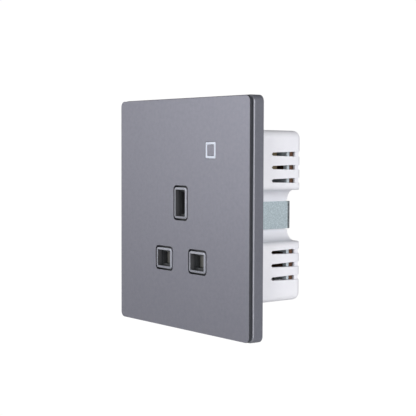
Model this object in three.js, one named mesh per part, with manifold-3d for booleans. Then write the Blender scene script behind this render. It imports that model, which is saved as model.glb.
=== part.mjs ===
// Flush smart wall socket, one gang, for plugs with three rectangular pins.
// Millimetres. +X to the right, +Y back into the wall, +Z up, seen from the front.
// The origin is the middle of the wall plane, where the back of the mounting frame rests.

import * as THREE from 'three';
import { mergeVertices } from 'three/addons/utils/BufferGeometryUtils.js';
import Module from 'manifold-3d';

const wasm = await Module();
wasm.setup();

// ---------------------------------------------------------------- driving dimensions

// Front plate: the mounting frame with the pull-off panel in front of it.
const plateWidth = 86;
const plateHeight = 90;
const plateDepth = 6.3;
const plateCorner = 2.5;
const panelThickness = 1.1;
const panelInset = 0.3;
const panelEdgeRound = 0.3;
const grooveHeight = 0.5;
const grooveInset = 0.9;
const frameBevel = 0.5;
const frameRim = 3.3;
const webThickness = 1.4;
const webSetback = 1.4;
const skirtWall = 1.2;
const skirtClearance = 0.4;
const snapRidge = 0.25;
const snapLength = 9;
const pryNotchWidth = 8;
const pryNotchDepth = 1;

// Plug pins and where they stand.
const flatPin = { width: 6.35, height: 4.0, length: 17.7 };
const earthPin = { width: 4.0, height: 8.0, length: 22.7 };
const pinSpacing = 22.2;
const earthPinHeight = 4.4;
const passageClearance = 0.35;
const openingMargin = 1.3;
const collarRing = 1;
const collarSlopeWidth = 0.9;
const collarSlopeDepth = 0.35;
const collarMouthCorner = 1;
const collarThroatCorner = 0.2;
const collarCorner = 1.1;
const collarProud = 0.2;
const collarGap = 0.45;

// Touch key with its light ring.
const keyX = 19.3;
const keyZ = 24.9;
const keyRingSize = 6.1;
const keyRingStroke = 0.9;
const keyFlange = 0.8;
const keyCorner = 0.5;
const keyGap = 0.1;

// Socket insert, the dark moulding behind the panel.
const insertLip = 2.2;
const insertThickness = 1.4;
const insertCorner = 3;
const screwAccessWidth = 10;
const screwAccessDepth = 9;
const railThickness = 1.5;

// Shutter.
const shutterThickness = 1.4;
const shutterTravel = 5.6;
const stemHalfWidth = 6.4;
const bladeOverlap = 0.65;
const bladeMargin = 0.95;
const springRadius = 1.1;
const springWire = 0.4;
const springTurns = 7;
const springLength = 11;

// Rear housing.
const housingFront = 65.3;
const housingDepth = 27.5;
const housingDraft = 0.01;
const housingWall = 1.8;
const housingBackWall = 1.6;
const housingCorner = 3;
const housingBackRound = 2.2;
const notchFloor = 24;
const notchHeight = 19.6;
const notchInnerFillet = 4;
const notchOuterFillet = 2.2;
const notchBackChamfer = 1;
const notchChamferMargin = 0.5;
const strapBossRadius = 3.1;
const boardLedgeInset = 10;
const boardLedgeSize = 3;
const wireHoleWidth = 5.6;
const ventHeights = [13.5, 18.5, 23.5];
const ventStart = 12.5;
const ventEnd = 24.8;
const ventReach = 4.2;
const ventFrontHeight = 1.25;
const ventBackHeight = 1.9;
const ventGrooveDepth = 0.9;
const ventGrooveReach = 4.5;

// Steel mounting strap.
const strapWidth = 10.5;
const strapThickness = 1.2;
const strapBend = 2.2;
const earReach = 37;
const earCorner = 2;
const fixingCentres = 60.3;
const fixingSlotWidth = 3.9;
const fixingSlotLength = 6.4;

// Boards.
const powerBoardFront = 23.3;
const powerBoardThickness = 1.6;
const boardEdgeGap = 0.5;
const retainerWidth = 2;
const retainerThickness = 1.3;
const retainerEyeWall = 1.3;
const controlBoardFront = 1.2;
const controlBoardThickness = 1.2;
const controlBoardBottom = 12.6;
const controlBoardEdgeGap = 1.2;

// Terminals.
const terminalSpacing = 18;
const wireGap = 4.5;
const clampTravel = 3.5;
const clampWall = 1.2;
const clampBack = 1.4;
const clampWidth = 7.6;
const clampHeight = 6.2;
const busbarFront = 12.9;
const busbarThickness = 1;
const busbarWidth = 5;
const busbarBelowPin = 3;
const terminalScrewRadius = 1.75;
const terminalHeadRadius = 2.8;
const terminalHeadHeight = 1.8;
const terminalSlotWidth = 0.9;
const terminalSlotDepth = 1;

// Pin contacts.
const contactThickness = 0.5;
const contactPinch = 0.15;
const contactFlare = 0.5;
const chamberWall = 1;
const carrierFront = -0.3;
const carrierThickness = 2.7;
const carrierHalfWidth = 19;
const chamberSpare = 0.8;
const contactLeadIn = 2;
const contactHeel = 3;
const contactTailWidth = 4;

// Screws that hold the case together.
const caseScrewInsetX = 5.4;
const caseScrewInsetZ = 5.2;
const caseScrewRadius = 1.2;
const caseHeadRadius = 2.1;
const caseHeadHeight = 1.5;
const pillarRadius = 3;
const strapScrewRadius = 1.7;
const strapHeadRadius = 3.2;
const strapHeadHeight = 1.9;

// What stands on the boards: the middle across and up, then sizes and depths.
const moduleBox = { x: -16, z: 21, width: 16, height: 12.8, thickness: 1 };
const shieldCan = { x: -17.3, z: 21, width: 10.6, height: 10.8, rise: 3.2, wall: 0.4 };
const touchCoil = { radius: 2, wire: 0.5, turns: 4 };
const lightChip = { size: 1.6, rise: 1.2 };
const filmBox = { x: 25.4, z: 20.1, width: 6.4, height: 8.2, back: 18.4 };
const bulkCan = { x: 16.8, z: 19.8, radius: 4.2, neck: 3.9, front: 8.5, neckFrom: 2.6, neckTo: 1.9 };
const relayBox = { x: -15.4, z: 19.7, width: 14, height: 10.2, front: 9.8 };
const relayPip = { x: -21.2, z: 23.4, size: 0.8, rise: 0.4 };
const transformerZ = 20.8;
const coreFrame = { width: 13.2, height: 12, front: 12.4, back: 18.6 };
const coreWindow = { width: 9.2, height: 6.8 };
const winding = { width: 8.6, height: 6.2, front: 9.6 };
const windingBase = { width: 10.8, height: 9.2, front: 19.4 };
const headerRow = { x: 9.6, z: 20.6, pins: 5, pitch: 2, needle: 0.6, height: 8, needleEnd: 4 };
const surgeDisc = { x: -11, y: 17.2, z: 0.5, radius: 4.4, thickness: 3.4, foot: 2.4, footHeight: 5.8 };
const drumCoil = { x: -15.2, z: -6.4, radius: 3.4, waist: 2.7, front: 13.2, flange: 1.4 };
const fuseTube = { x: 13.5, y: 19.6, radius: 2, length: 13, leg: 1, legAt: 5.5 };

// Clearances.
const seat = 0.1;
const screwClearance = 0.15;
const runningClearance = 0.1;
const looseClearance = 0.3;

// Number of straight steps in a quarter turn of a lofted edge or corner.
const fineSteps = 6;
const plainSteps = 3;

// Curve segments of a pushed outline, which draws a quarter turn in twice as many steps.
const fineArc = 3;
const plainArc = 1;

// ---------------------------------------------------------------- places worked out from them

const panelFront = -plateDepth;
const panelBack = panelFront + panelThickness;
const frameFront = panelBack + grooveHeight;
const webBack = -webSetback;
const webFront = webBack - webThickness;
const rimFront = webFront;
const insertBack = webFront - seat;
const insertFront = insertBack - insertThickness;
const collarFront = panelFront - collarProud;
const collarBack = insertFront - seat;
const flatPinZ = earthPinHeight - pinSpacing;
const flatPinX = pinSpacing / 2;
const shutterFront = insertBack + 0.8;
const shutterBack = shutterFront + shutterThickness;
const passageEnd = shutterFront - 0.2;
const housingBackInside = housingDepth - housingBackWall;
const powerBoardBack = powerBoardFront + powerBoardThickness;
const controlBoardBack = controlBoardFront + controlBoardThickness;
const pillarFront = controlBoardBack;
const notchHalf = notchHeight / 2;
const cageFront = busbarFront - wireGap - clampWall;
const cageBack = busbarFront + busbarThickness + looseClearance + runningClearance + clampBack;
const terminalHeadFront = cageBack + clampTravel + 0.2;
const terminalHeadBack = terminalHeadFront + terminalHeadHeight;
const terminalFloor = housingWall + housingDraft * terminalHeadBack - housingFront / 2;
const terminalZ = terminalFloor + looseClearance + terminalHeadRadius;
const insertSize = housingFront + 2 * insertLip;
const caseScrewX = housingFront / 2 - caseScrewInsetX;
const caseScrewZ = housingFront / 2 - caseScrewInsetZ;

const pins = [
  { name: 'earth', x: 0, z: earthPinHeight, pin: earthPin },
  { name: 'neutral', x: -flatPinX, z: flatPinZ, pin: flatPin },
  { name: 'live', x: flatPinX, z: flatPinZ, pin: flatPin },
];

const terminals = [
  { name: 'neutral', x: -terminalSpacing },
  { name: 'earth', x: 0 },
  { name: 'live', x: terminalSpacing },
];

const corners = [
  [1, 1],
  [-1, 1],
  [-1, -1],
  [1, -1],
];

// ---------------------------------------------------------------- finishes

function finish(color, roughness, metalness) {
  return new THREE.MeshStandardMaterial({ color, roughness, metalness });
}

const finishes = {
  panelPaint: () => finish(0x94959e, 0.38, 0.45),
  framePaint: () => finish(0x7b7d87, 0.42, 0.4),
  collar: () => finish(0xd4d7de, 0.3, 0.3),
  lightGuide: () => finish(0xe4e8f0, 0.3, 0),
  insert: () => finish(0x2e3135, 0.5, 0),
  shutter: () => finish(0xb9b3a2, 0.5, 0),
  whitePlastic: () => finish(0xe8e8ee, 0.45, 0),
  retainer: () => finish(0xc6d0d6, 0.5, 0),
  carrier: () => finish(0x3a3a3e, 0.6, 0),
  steel: () => finish(0xb0bcc3, 0.4, 0.85),
  springSteel: () => finish(0x9a9da1, 0.3, 0.9),
  brass: () => finish(0xc8a353, 0.35, 0.9),
  bronze: () => finish(0xb5793f, 0.35, 0.9),
  phenolic: () => finish(0x7a5138, 0.7, 0),
  greenBoard: () => finish(0x1f5a3c, 0.5, 0),
  black: () => finish(0x1c1d20, 0.5, 0),
  blueBody: () => finish(0x2f5fa8, 0.5, 0),
  beigeBody: () => finish(0xc9b690, 0.5, 0),
  ferrite: () => finish(0x3b3b3d, 0.6, 0.1),
  tape: () => finish(0xd8b23a, 0.5, 0),
  tin: () => finish(0xc2c5c8, 0.35, 0.8),
};

// ---------------------------------------------------------------- solids

function solidOf(geometry) {
  const plain = geometry.clone();
  plain.deleteAttribute('normal');
  plain.deleteAttribute('uv');
  const merged = mergeVertices(plain, 1e-5);
  const mesh = new wasm.Mesh({
    numProp: 3,
    vertProperties: new Float32Array(merged.attributes.position.array),
    triVerts: new Uint32Array(merged.index.array),
  });
  return new wasm.Manifold(mesh);
}

function meshOf(name, solid, material) {
  const result = solid.getMesh();
  const geometry = new THREE.BufferGeometry();
  geometry.setAttribute('position', new THREE.BufferAttribute(result.vertProperties, 3));
  geometry.setIndex(new THREE.BufferAttribute(result.triVerts, 1));
  geometry.computeVertexNormals();
  const mesh = new THREE.Mesh(geometry, material);
  mesh.name = name;
  return mesh;
}

function join(...solids) {
  return solids.reduce((whole, next) => whole.add(next));
}

function cut(solid, ...tools) {
  return tools.reduce((rest, tool) => rest.subtract(tool), solid);
}

// A block given by its two corners along each axis.
function block([x0, x1], [y0, y1], [z0, z1]) {
  const geometry = new THREE.BoxGeometry(x1 - x0, y1 - y0, z1 - z0);
  geometry.translate((x0 + x1) / 2, (y0 + y1) / 2, (z0 + z1) / 2);
  return solidOf(geometry);
}

// A block centred on x and z, from one depth to another.
function blockAt(x, z, width, height, [y0, y1]) {
  return block([x - width / 2, x + width / 2], [y0, y1], [z - height / 2, z + height / 2]);
}

// A round rod along the depth.
function rod(x, z, radius, [y0, y1], sides = 16) {
  const geometry = new THREE.CylinderGeometry(radius, radius, y1 - y0, sides);
  geometry.translate(x, (y0 + y1) / 2, z);
  return solidOf(geometry);
}

// An outline drawn on X and Z, pushed along the depth.
function pushDepth(shape, [y0, y1], steps = plainArc) {
  const geometry = new THREE.ExtrudeGeometry(shape, {
    depth: y1 - y0,
    bevelEnabled: false,
    curveSegments: steps,
  });
  geometry.rotateX(Math.PI / 2);
  geometry.translate(0, y1, 0);
  return solidOf(geometry);
}

// An outline drawn on Y and Z, pushed across from one x to another.
function pushAcross(shape, [x0, x1], steps = plainArc) {
  const geometry = new THREE.ExtrudeGeometry(shape, {
    depth: x1 - x0,
    bevelEnabled: false,
    curveSegments: steps,
  });
  const turn = new THREE.Matrix4().makeBasis(
    new THREE.Vector3(0, 1, 0),
    new THREE.Vector3(0, 0, 1),
    new THREE.Vector3(1, 0, 0),
  );
  geometry.applyMatrix4(turn);
  geometry.translate(x0, 0, 0);
  return solidOf(geometry);
}

// An outline drawn on X and Y, pushed up from one z to another.
function pushUp(shape, [z0, z1], steps = plainArc) {
  const geometry = new THREE.ExtrudeGeometry(shape, {
    depth: z1 - z0,
    bevelEnabled: false,
    curveSegments: steps,
  });
  geometry.translate(0, 0, z0);
  return solidOf(geometry);
}

function polygon(points) {
  return new THREE.Shape(points.map(([x, y]) => new THREE.Vector2(x, y)));
}

function roundedRect(x, z, width, height, radius) {
  const right = x + width / 2;
  const left = x - width / 2;
  const top = z + height / 2;
  const bottom = z - height / 2;
  const shape = new THREE.Shape();
  shape.moveTo(left + radius, bottom);
  shape.lineTo(right - radius, bottom);
  shape.absarc(right - radius, bottom + radius, radius, -Math.PI / 2, 0);
  shape.lineTo(right, top - radius);
  shape.absarc(right - radius, top - radius, radius, 0, Math.PI / 2);
  shape.lineTo(left + radius, top);
  shape.absarc(left + radius, top - radius, radius, Math.PI / 2, Math.PI);
  shape.lineTo(left, bottom + radius);
  shape.absarc(left + radius, bottom + radius, radius, Math.PI, 1.5 * Math.PI);
  shape.closePath();
  return shape;
}

// One ring of points round a rounded rectangle, counter-clockwise from the front.
function ringPoints(x, z, halfWidth, halfHeight, radius, steps) {
  const points = [];
  corners.forEach(([sideX, sideZ], quarter) => {
    for (let step = 0; step <= steps; step += 1) {
      const angle = (quarter + step / steps) * Math.PI / 2;
      points.push([
        x + sideX * (halfWidth - radius) + radius * Math.cos(angle),
        z + sideZ * (halfHeight - radius) + radius * Math.sin(angle),
      ]);
    }
  });
  return points;
}

// A solid skinned through rounded rectangles of different sizes, from the front back.
function loft(sections, steps = fineSteps, x = 0, z = 0) {
  const count = 4 * (steps + 1);
  const positions = [];
  sections.forEach((section) => {
    const ring = ringPoints(x, z, section.halfWidth, section.halfHeight, section.radius, steps);
    ring.forEach(([px, pz]) => positions.push(px, section.y, pz));
  });
  const index = [];
  for (let level = 0; level + 1 < sections.length; level += 1) {
    for (let i = 0; i < count; i += 1) {
      const a = level * count + i;
      const b = level * count + (i + 1) % count;
      index.push(a, a + count, b, b, a + count, b + count);
    }
  }
  const last = (sections.length - 1) * count;
  for (let i = 1; i + 1 < count; i += 1) {
    index.push(0, i, i + 1);
    index.push(last, last + i + 1, last + i);
  }
  const geometry = new THREE.BufferGeometry();
  geometry.setAttribute('position', new THREE.Float32BufferAttribute(positions, 3));
  geometry.setIndex(index);
  return solidOf(geometry);
}

// A slab whose front edge is rounded over.
function roundedSlab(width, height, corner, [y0, y1], edge, x = 0, z = 0) {
  const sections = [];
  for (let step = 0; step <= plainSteps; step += 1) {
    const angle = (step / plainSteps) * Math.PI / 2;
    const inset = edge * (1 - Math.sin(angle));
    sections.push({
      y: y0 + edge * (1 - Math.cos(angle)),
      halfWidth: width / 2 - inset,
      halfHeight: height / 2 - inset,
      radius: corner - inset,
    });
  }
  sections.push({ y: y1, halfWidth: width / 2, halfHeight: height / 2, radius: corner });
  return loft(sections, fineSteps, x, z);
}

// The closed outline of a metal strip of one thickness that follows a bent centre line.
function stripOutline(points, thickness, bendRadius) {
  const line = [];
  points.forEach(([x, y], i) => {
    const here = new THREE.Vector2(x, y);
    if (i === 0 || i === points.length - 1 || bendRadius === 0) {
      line.push(here);
      return;
    }
    const before = new THREE.Vector2(...points[i - 1]).sub(here).normalize();
    const after = new THREE.Vector2(...points[i + 1]).sub(here).normalize();
    const halfAngle = Math.acos(THREE.MathUtils.clamp(before.dot(after), -1, 1)) / 2;
    const reach = bendRadius / Math.tan(halfAngle);
    const start = here.clone().addScaledVector(before, reach);
    const end = here.clone().addScaledVector(after, reach);
    const bend = new THREE.QuadraticBezierCurve(start, here, end);
    line.push(...bend.getPoints(fineSteps));
  });
  const left = [];
  const right = [];
  line.forEach((here, i) => {
    const before = line[Math.max(i - 1, 0)];
    const after = line[Math.min(i + 1, line.length - 1)];
    const inward = here.clone().sub(before);
    const outward = after.clone().sub(here);
    const along = inward.normalize().add(outward.normalize()).normalize();
    const reference = outward.lengthSq() > 0 ? outward : inward;
    const stretch = 1 / Math.max(along.dot(reference), 0.5);
    const side = new THREE.Vector2(-along.y, along.x).multiplyScalar(thickness / 2 * stretch);
    left.push(here.clone().add(side));
    right.unshift(here.clone().sub(side));
  });
  return new THREE.Shape([...left, ...right]);
}

// A cross recess pressed into a screw head that faces back.
function crossRecess(x, z, size, [y0, y1]) {
  const arm = size / 3.2;
  return join(
    blockAt(x, z, size, arm, [y0, y1]),
    blockAt(x, z, arm, size, [y0, y1]),
  );
}

// A helix of round wire, wound about an axis through its first point.
class Helix extends THREE.Curve {
  constructor(radius, length, turns) {
    super();
    this.radius = radius;
    this.length = length;
    this.turns = turns;
  }

  getPoint(t, target = new THREE.Vector3()) {
    const angle = 2 * Math.PI * this.turns * t;
    const x = this.radius * Math.cos(angle);
    const y = this.radius * Math.sin(angle);
    return target.set(x, y, this.length * t);
  }
}

function coil(radius, length, turns, wire) {
  const stepsPerTurn = 10;
  const section = new THREE.Shape();
  section.absarc(0, 0, wire / 2, 0, 2 * Math.PI);
  return new THREE.ExtrudeGeometry(section, {
    steps: turns * stepsPerTurn,
    curveSegments: 3,
    bevelEnabled: false,
    extrudePath: new Helix(radius, length, turns),
  });
}

// ---------------------------------------------------------------- front panel and touch key

function pinOpening({ x, z, pin }, margin, depths, corner, arc = plainArc) {
  const width = pin.width + 2 * margin;
  const height = pin.height + 2 * margin;
  return pushDepth(roundedRect(x, z, width, height, corner), depths, arc);
}

function frontPanel() {
  const width = plateWidth - 2 * panelInset;
  const height = plateHeight - 2 * panelInset;
  const face = roundedSlab(width, height, plateCorner - panelInset, [panelFront, panelBack], panelEdgeRound);
  const stepWidth = width - 2 * grooveInset;
  const stepHeight = height - 2 * grooveInset;
  const stepBack = frameFront - seat;
  const step = blockAt(0, 0, stepWidth, stepHeight, [panelBack - seat, stepBack]);
  const skirtWidth = plateWidth - 2 * (frameRim + skirtClearance);
  const skirtHeight = plateHeight - 2 * (frameRim + skirtClearance);
  const skirtDepths = [stepBack - seat, webFront - looseClearance];
  const skirt = cut(
    blockAt(0, 0, skirtWidth, skirtHeight, skirtDepths),
    blockAt(0, 0, skirtWidth - 2 * skirtWall, skirtHeight - 2 * skirtWall, [stepBack, 0]),
  );
  const ridgeDepths = [webFront - 1.3, webFront - 0.5];
  const ridges = [-1, 1].flatMap((sideX) => [-1, 1].map((sideZ) => blockAt(
    sideX * skirtWidth / 2,
    sideZ * skirtHeight / 4,
    2 * snapRidge,
    snapLength,
    ridgeDepths,
  )));
  const margin = openingMargin + collarRing + collarGap;
  const through = [panelFront - 1, webFront];
  const corner = collarCorner + collarGap;
  const apertures = pins.map((hole) => pinOpening(hole, margin, through, corner, fineArc));
  const keyHole = keyRingSize + 2 * keyGap;
  const key = pushDepth(roundedRect(keyX, keyZ, keyHole, keyHole, keyCorner), through);
  return cut(join(face, step, skirt, ...ridges), ...apertures, key);
}

function indicatorRing() {
  const flangeFront = frameFront;
  const flangeSize = keyRingSize + 2 * keyFlange;
  const inner = keyRingSize - 2 * keyRingStroke;
  const body = pushDepth(
    roundedRect(keyX, keyZ, keyRingSize, keyRingSize, keyCorner),
    [panelFront, flangeFront + seat],
  );
  const flange = blockAt(keyX, keyZ, flangeSize, flangeSize, [flangeFront, insertFront - seat]);
  const window = blockAt(keyX, keyZ, inner, inner, [panelFront - 1, 0]);
  return cut(join(body, flange), window);
}

function touchPad() {
  const size = keyRingSize - 2 * keyRingStroke - 2 * keyGap;
  return blockAt(keyX, keyZ, size, size, [panelFront, insertFront - seat]);
}

// ---------------------------------------------------------------- mounting frame

function mountingFrame() {
  const rim = roundedSlab(plateWidth, plateHeight, plateCorner, [frameFront, 0], frameBevel);
  const innerWidth = plateWidth - 2 * frameRim;
  const innerHeight = plateHeight - 2 * frameRim;
  const housingAtWeb = housingFront + 2 * housingDraft * -rimFront;
  const opening = housingAtWeb + 2 * looseClearance;
  const frontPocket = blockAt(0, 0, innerWidth, innerHeight, [frameFront - 1, webFront]);
  const backPocket = blockAt(0, 0, innerWidth, innerHeight, [webBack, 1]);
  const middle = pushDepth(
    roundedRect(0, 0, opening, opening, housingCorner + looseClearance),
    [webFront - 1, webBack + 1],
  );
  const pryNotch = blockAt(
    0,
    -plateHeight / 2,
    pryNotchWidth,
    2 * pryNotchDepth,
    [frameFront - 1, frameFront + pryNotchDepth],
  );
  return cut(rim, frontPocket, backPocket, middle, pryNotch);
}

// ---------------------------------------------------------------- socket insert and collars

function collar(hole) {
  const { pin, x, z } = hole;
  const halfWidth = pin.width / 2 + openingMargin;
  const halfHeight = pin.height / 2 + openingMargin;
  const depths = [collarFront, collarBack];
  const outside = pinOpening(hole, openingMargin + collarRing, depths, collarCorner, fineArc);
  const mouthHalfWidth = halfWidth + collarSlopeWidth;
  const mouthHalfHeight = halfHeight + collarSlopeWidth;
  const mouth = loft([
    {
      y: collarFront - 1,
      halfWidth: mouthHalfWidth,
      halfHeight: mouthHalfHeight,
      radius: collarMouthCorner,
    },
    {
      y: collarFront,
      halfWidth: mouthHalfWidth,
      halfHeight: mouthHalfHeight,
      radius: collarMouthCorner,
    },
    {
      y: collarFront + collarSlopeDepth,
      halfWidth,
      halfHeight,
      radius: collarThroatCorner,
    },
    { y: collarBack + 1, halfWidth, halfHeight, radius: collarThroatCorner },
  ], plainSteps, x, z);
  return cut(outside, mouth);
}

function socketInsert() {
  const flange = pushDepth(
    roundedRect(0, 0, insertSize, insertSize, insertCorner),
    [insertFront, insertBack],
    fineArc,
  );
  const bosses = pins.map((hole) => pinOpening(hole, 1.2, [insertBack - seat, passageEnd], 0.5));
  const railX = stemHalfWidth + looseClearance + railThickness / 2;
  const bladeTop = flatPinZ + flatPin.height / 2 + bladeMargin;
  const railBottom = bladeTop + 1;
  const railTop = earthPinHeight + earthPin.height / 2 + shutterTravel;
  const rails = [-1, 1].map((side) => blockAt(
    side * railX,
    (railBottom + railTop) / 2,
    railThickness,
    railTop - railBottom,
    [insertBack - seat, shutterBack],
  ));
  const peg = springPeg();
  const nuts = corners.map(([sideX, sideZ]) => rod(
    sideX * caseScrewX,
    sideZ * caseScrewZ,
    pillarRadius - 0.4,
    [insertBack - seat, pillarFront - looseClearance],
  ));
  const pilots = corners.map(([sideX, sideZ]) => rod(
    sideX * caseScrewX,
    sideZ * caseScrewZ,
    caseScrewRadius + screwClearance,
    [insertBack + 0.6, pillarFront + 1],
    16,
  ));
  const passages = pins.map((hole) => pinOpening(
    hole,
    passageClearance,
    [insertFront - 1, shutterFront],
    0.3,
  ));
  const sensorHole = rod(keyX, keyZ, 3.1, [insertFront - 1, insertBack + 1]);
  const access = [-1, 1].map((side) => blockAt(
    side * (insertSize / 2),
    0,
    2 * screwAccessDepth,
    screwAccessWidth,
    [insertFront - 1, insertBack + 1],
  ));
  return cut(
    join(flange, ...bosses, ...rails, peg, ...nuts),
    ...pilots,
    ...passages,
    sensorHole,
    ...access,
  );
}

// ---------------------------------------------------------------- shutter and its spring

const bladeTopZ = flatPinZ + flatPin.height / 2 + bladeMargin;
const bladeBottomZ = flatPinZ - flatPin.height / 2 - bladeMargin;
const springTopZ = earthPinHeight - earthPin.height / 2 - 1.5;
const springBottomZ = springTopZ - springLength;
const springY = (insertBack + shutterBack) / 2 + 0.4;
const pegHeight = 1.2;

function springPeg() {
  const pegTop = springBottomZ - seat;
  return block(
    [-springRadius, springRadius],
    [insertBack - seat, springY + springRadius],
    [pegTop - pegHeight, pegTop],
  );
}

function shutter() {
  const bladeReach = flatPinX + flatPin.width / 2 + bladeOverlap + passageClearance;
  const earthTop = earthPinHeight + earthPin.height / 2;
  const earthBottom = earthPinHeight - earthPin.height / 2;
  const stemTop = earthTop + shutterTravel + 1.2;
  const blade = block([-bladeReach, bladeReach], [shutterFront, shutterBack], [bladeBottomZ, bladeTopZ]);
  const stem = block([-stemHalfWidth, stemHalfWidth], [shutterFront, shutterBack], [bladeBottomZ, stemTop]);
  const rampHalf = earthPin.width / 2 + passageClearance;
  const windowHalf = rampHalf + 0.2;
  const rampFoot = earthBottom - 0.4;
  const earthWindow = block(
    [-windowHalf, windowHalf],
    [shutterFront - 1, shutterBack + 1],
    [rampFoot, earthTop + shutterTravel + 0.2],
  );
  const springHalf = springRadius + springWire / 2 + looseClearance;
  const springWindow = block(
    [-springHalf, springHalf],
    [shutterFront - 1, shutterBack + 1],
    [springBottomZ - pegHeight - 0.4, springTopZ + seat],
  );
  const ramp = pushAcross(polygon([
    [shutterFront, rampFoot - 0.6],
    [shutterBack, rampFoot - 0.6],
    [shutterFront + shutterTravel, rampFoot + shutterTravel - 2.4],
    [shutterFront + shutterTravel, rampFoot + shutterTravel],
    [shutterFront, rampFoot],
  ]), [-rampHalf, rampHalf]);
  return join(cut(join(blade, stem), earthWindow, springWindow), ramp);
}

function shutterSpring() {
  const geometry = coil(springRadius, springLength - springWire, springTurns, springWire);
  geometry.translate(0, springY, springBottomZ + springWire / 2);
  return solidOf(geometry);
}

// ---------------------------------------------------------------- contacts and their carrier

const carrierBack = carrierFront + carrierThickness;
const leafOffset = flatPin.height / 2 + contactThickness / 2 - contactPinch;

function pinReach({ pin }) {
  return panelFront + pin.length;
}

function chamberSize({ name, pin }) {
  const across = pin.height + 2 * (contactThickness + contactFlare + looseClearance);
  if (name === 'earth') {
    const wide = pin.width + 2 * (contactThickness + contactFlare + looseClearance);
    return [wide, pin.height + 2 * chamberSpare];
  }
  return [pin.width + 2 * chamberSpare, across];
}

function contactCarrier() {
  const bottom = flatPinZ - flatPin.height / 2 - shutterTravel - 2;
  const top = controlBoardBottom - 2 * looseClearance;
  const plate = block(
    [-carrierHalfWidth, carrierHalfWidth],
    [carrierFront, carrierBack],
    [bottom, top],
  );
  const chambers = pins.map((hole) => {
    const [width, height] = chamberSize(hole);
    return blockAt(
      hole.x,
      hole.z,
      width + 2 * chamberWall,
      height + 2 * chamberWall,
      [carrierBack - seat, pinReach(hole) + 1.4],
    );
  });
  const hollows = pins.map((hole) => {
    const [width, height] = chamberSize(hole);
    return blockAt(hole.x, hole.z, width, height, [carrierBack, pinReach(hole) + 3]);
  });
  const passages = pins.map((hole) => pinOpening(
    hole,
    passageClearance + 0.2,
    [carrierFront - 1, carrierBack + 1],
    0.3,
  ));
  const rampHalf = earthPin.width / 2 + passageClearance + looseClearance;
  const earthBottom = earthPinHeight - earthPin.height / 2;
  const rampSlot = block(
    [-rampHalf, rampHalf],
    [carrierFront - 1, shutterFront + shutterTravel + looseClearance],
    [earthBottom - shutterTravel - 1.6, earthBottom + shutterTravel],
  );
  const springHalf = springRadius + springWire;
  const springSlot = block(
    [-springHalf, springHalf],
    [carrierFront - 1, springY + springRadius + springWire + looseClearance],
    [springBottomZ - pegHeight - 1, springTopZ + 1],
  );
  return cut(join(plate, ...chambers), ...hollows, ...passages, rampSlot, springSlot);
}

// A sprung fork of two leaves on a tail: the leaves lie either side of the pin's thin way.
function contactProfile(reach, front) {
  const base = reach + 0.8;
  const mouth = leafOffset + contactFlare;
  const fork = polygonStrip([
    [front, mouth],
    [front + contactLeadIn, leafOffset],
    [base - contactHeel, leafOffset],
    [base, leafOffset + 0.2],
    [base, -leafOffset - 0.2],
    [base - contactHeel, -leafOffset],
    [front + contactLeadIn, -leafOffset],
    [front, -mouth],
  ]);
  return { fork, base };
}

function polygonStrip(points) {
  return stripOutline(points, contactThickness, 0);
}

function flatContact(hole) {
  const { fork, base } = contactProfile(pinReach(hole), carrierBack + looseClearance);
  const leaves = pushAcross(fork, [-flatPin.width / 2, flatPin.width / 2]);
  const tail = blockAt(0, 0, contactTailWidth, contactThickness, [base, powerBoardFront - seat]);
  return join(leaves, tail).translate([hole.x, 0, hole.z]);
}

function earthContact(hole) {
  const front = shutterFront + shutterTravel + 2 * looseClearance;
  const { fork, base } = contactProfile(pinReach(hole), front);
  const turned = new THREE.Shape(fork.getPoints().map((p) => new THREE.Vector2(-p.y, p.x)));
  const leaves = pushUp(turned, [-earthPin.height / 2 + 0.4, earthPin.height / 2 - 0.4]);
  const tail = blockAt(0, 0, contactThickness, contactTailWidth, [base, powerBoardFront - seat]);
  return join(leaves, tail).translate([hole.x, 0, hole.z]);
}

// ---------------------------------------------------------------- terminals

function terminalClamp(x) {
  const shell = blockAt(x, terminalZ, clampWidth, clampHeight, [cageFront, cageBack]);
  const window = blockAt(
    x,
    terminalZ,
    clampWidth - 2 * clampWall,
    clampHeight + 2,
    [cageFront + clampWall, cageBack - clampBack],
  );
  const bore = rod(
    x,
    terminalZ,
    terminalScrewRadius + runningClearance,
    [cageBack - clampBack - 1, cageBack + 1],
  );
  return cut(shell, window, bore);
}

function terminalScrew(x) {
  const shaft = rod(
    x,
    terminalZ,
    terminalScrewRadius,
    [busbarFront + busbarThickness + seat, terminalHeadFront + seat],
  );
  const head = rod(x, terminalZ, terminalHeadRadius, [terminalHeadFront, terminalHeadBack]);
  const slot = blockAt(
    x,
    terminalZ,
    2.4 * terminalHeadRadius,
    terminalSlotWidth,
    [terminalHeadBack - terminalSlotDepth, terminalHeadBack + 1],
  );
  return cut(join(shaft, head), slot);
}

function terminalBar(x) {
  const bottom = terminalZ - clampHeight / 2 + 0.4;
  const top = flatPinZ - busbarBelowPin;
  const back = powerBoardFront - seat;
  const profile = polygon([
    [busbarFront, bottom],
    [busbarFront + busbarThickness, bottom],
    [busbarFront + busbarThickness, top - busbarThickness],
    [back, top - busbarThickness],
    [back, top],
    [busbarFront, top],
  ]);
  return pushAcross(profile, [x - busbarWidth / 2, x + busbarWidth / 2]);
}

// ---------------------------------------------------------------- boards and what they carry

// The inside of the housing at one depth, drawn in by a gap: two wide ends and a waist.
function waistOutline(depth, gap) {
  const half = housingFront / 2 - housingDraft * depth - housingWall - gap;
  const waist = notchFloor - housingWall - gap;
  const shoulder = notchHalf + housingWall + gap;
  return polygon([
    [-half, -half],
    [half, -half],
    [half, -shoulder],
    [waist, -shoulder],
    [waist, shoulder],
    [half, shoulder],
    [half, half],
    [-half, half],
    [-half, shoulder],
    [-waist, shoulder],
    [-waist, -shoulder],
    [-half, -shoulder],
  ]);
}

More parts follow.
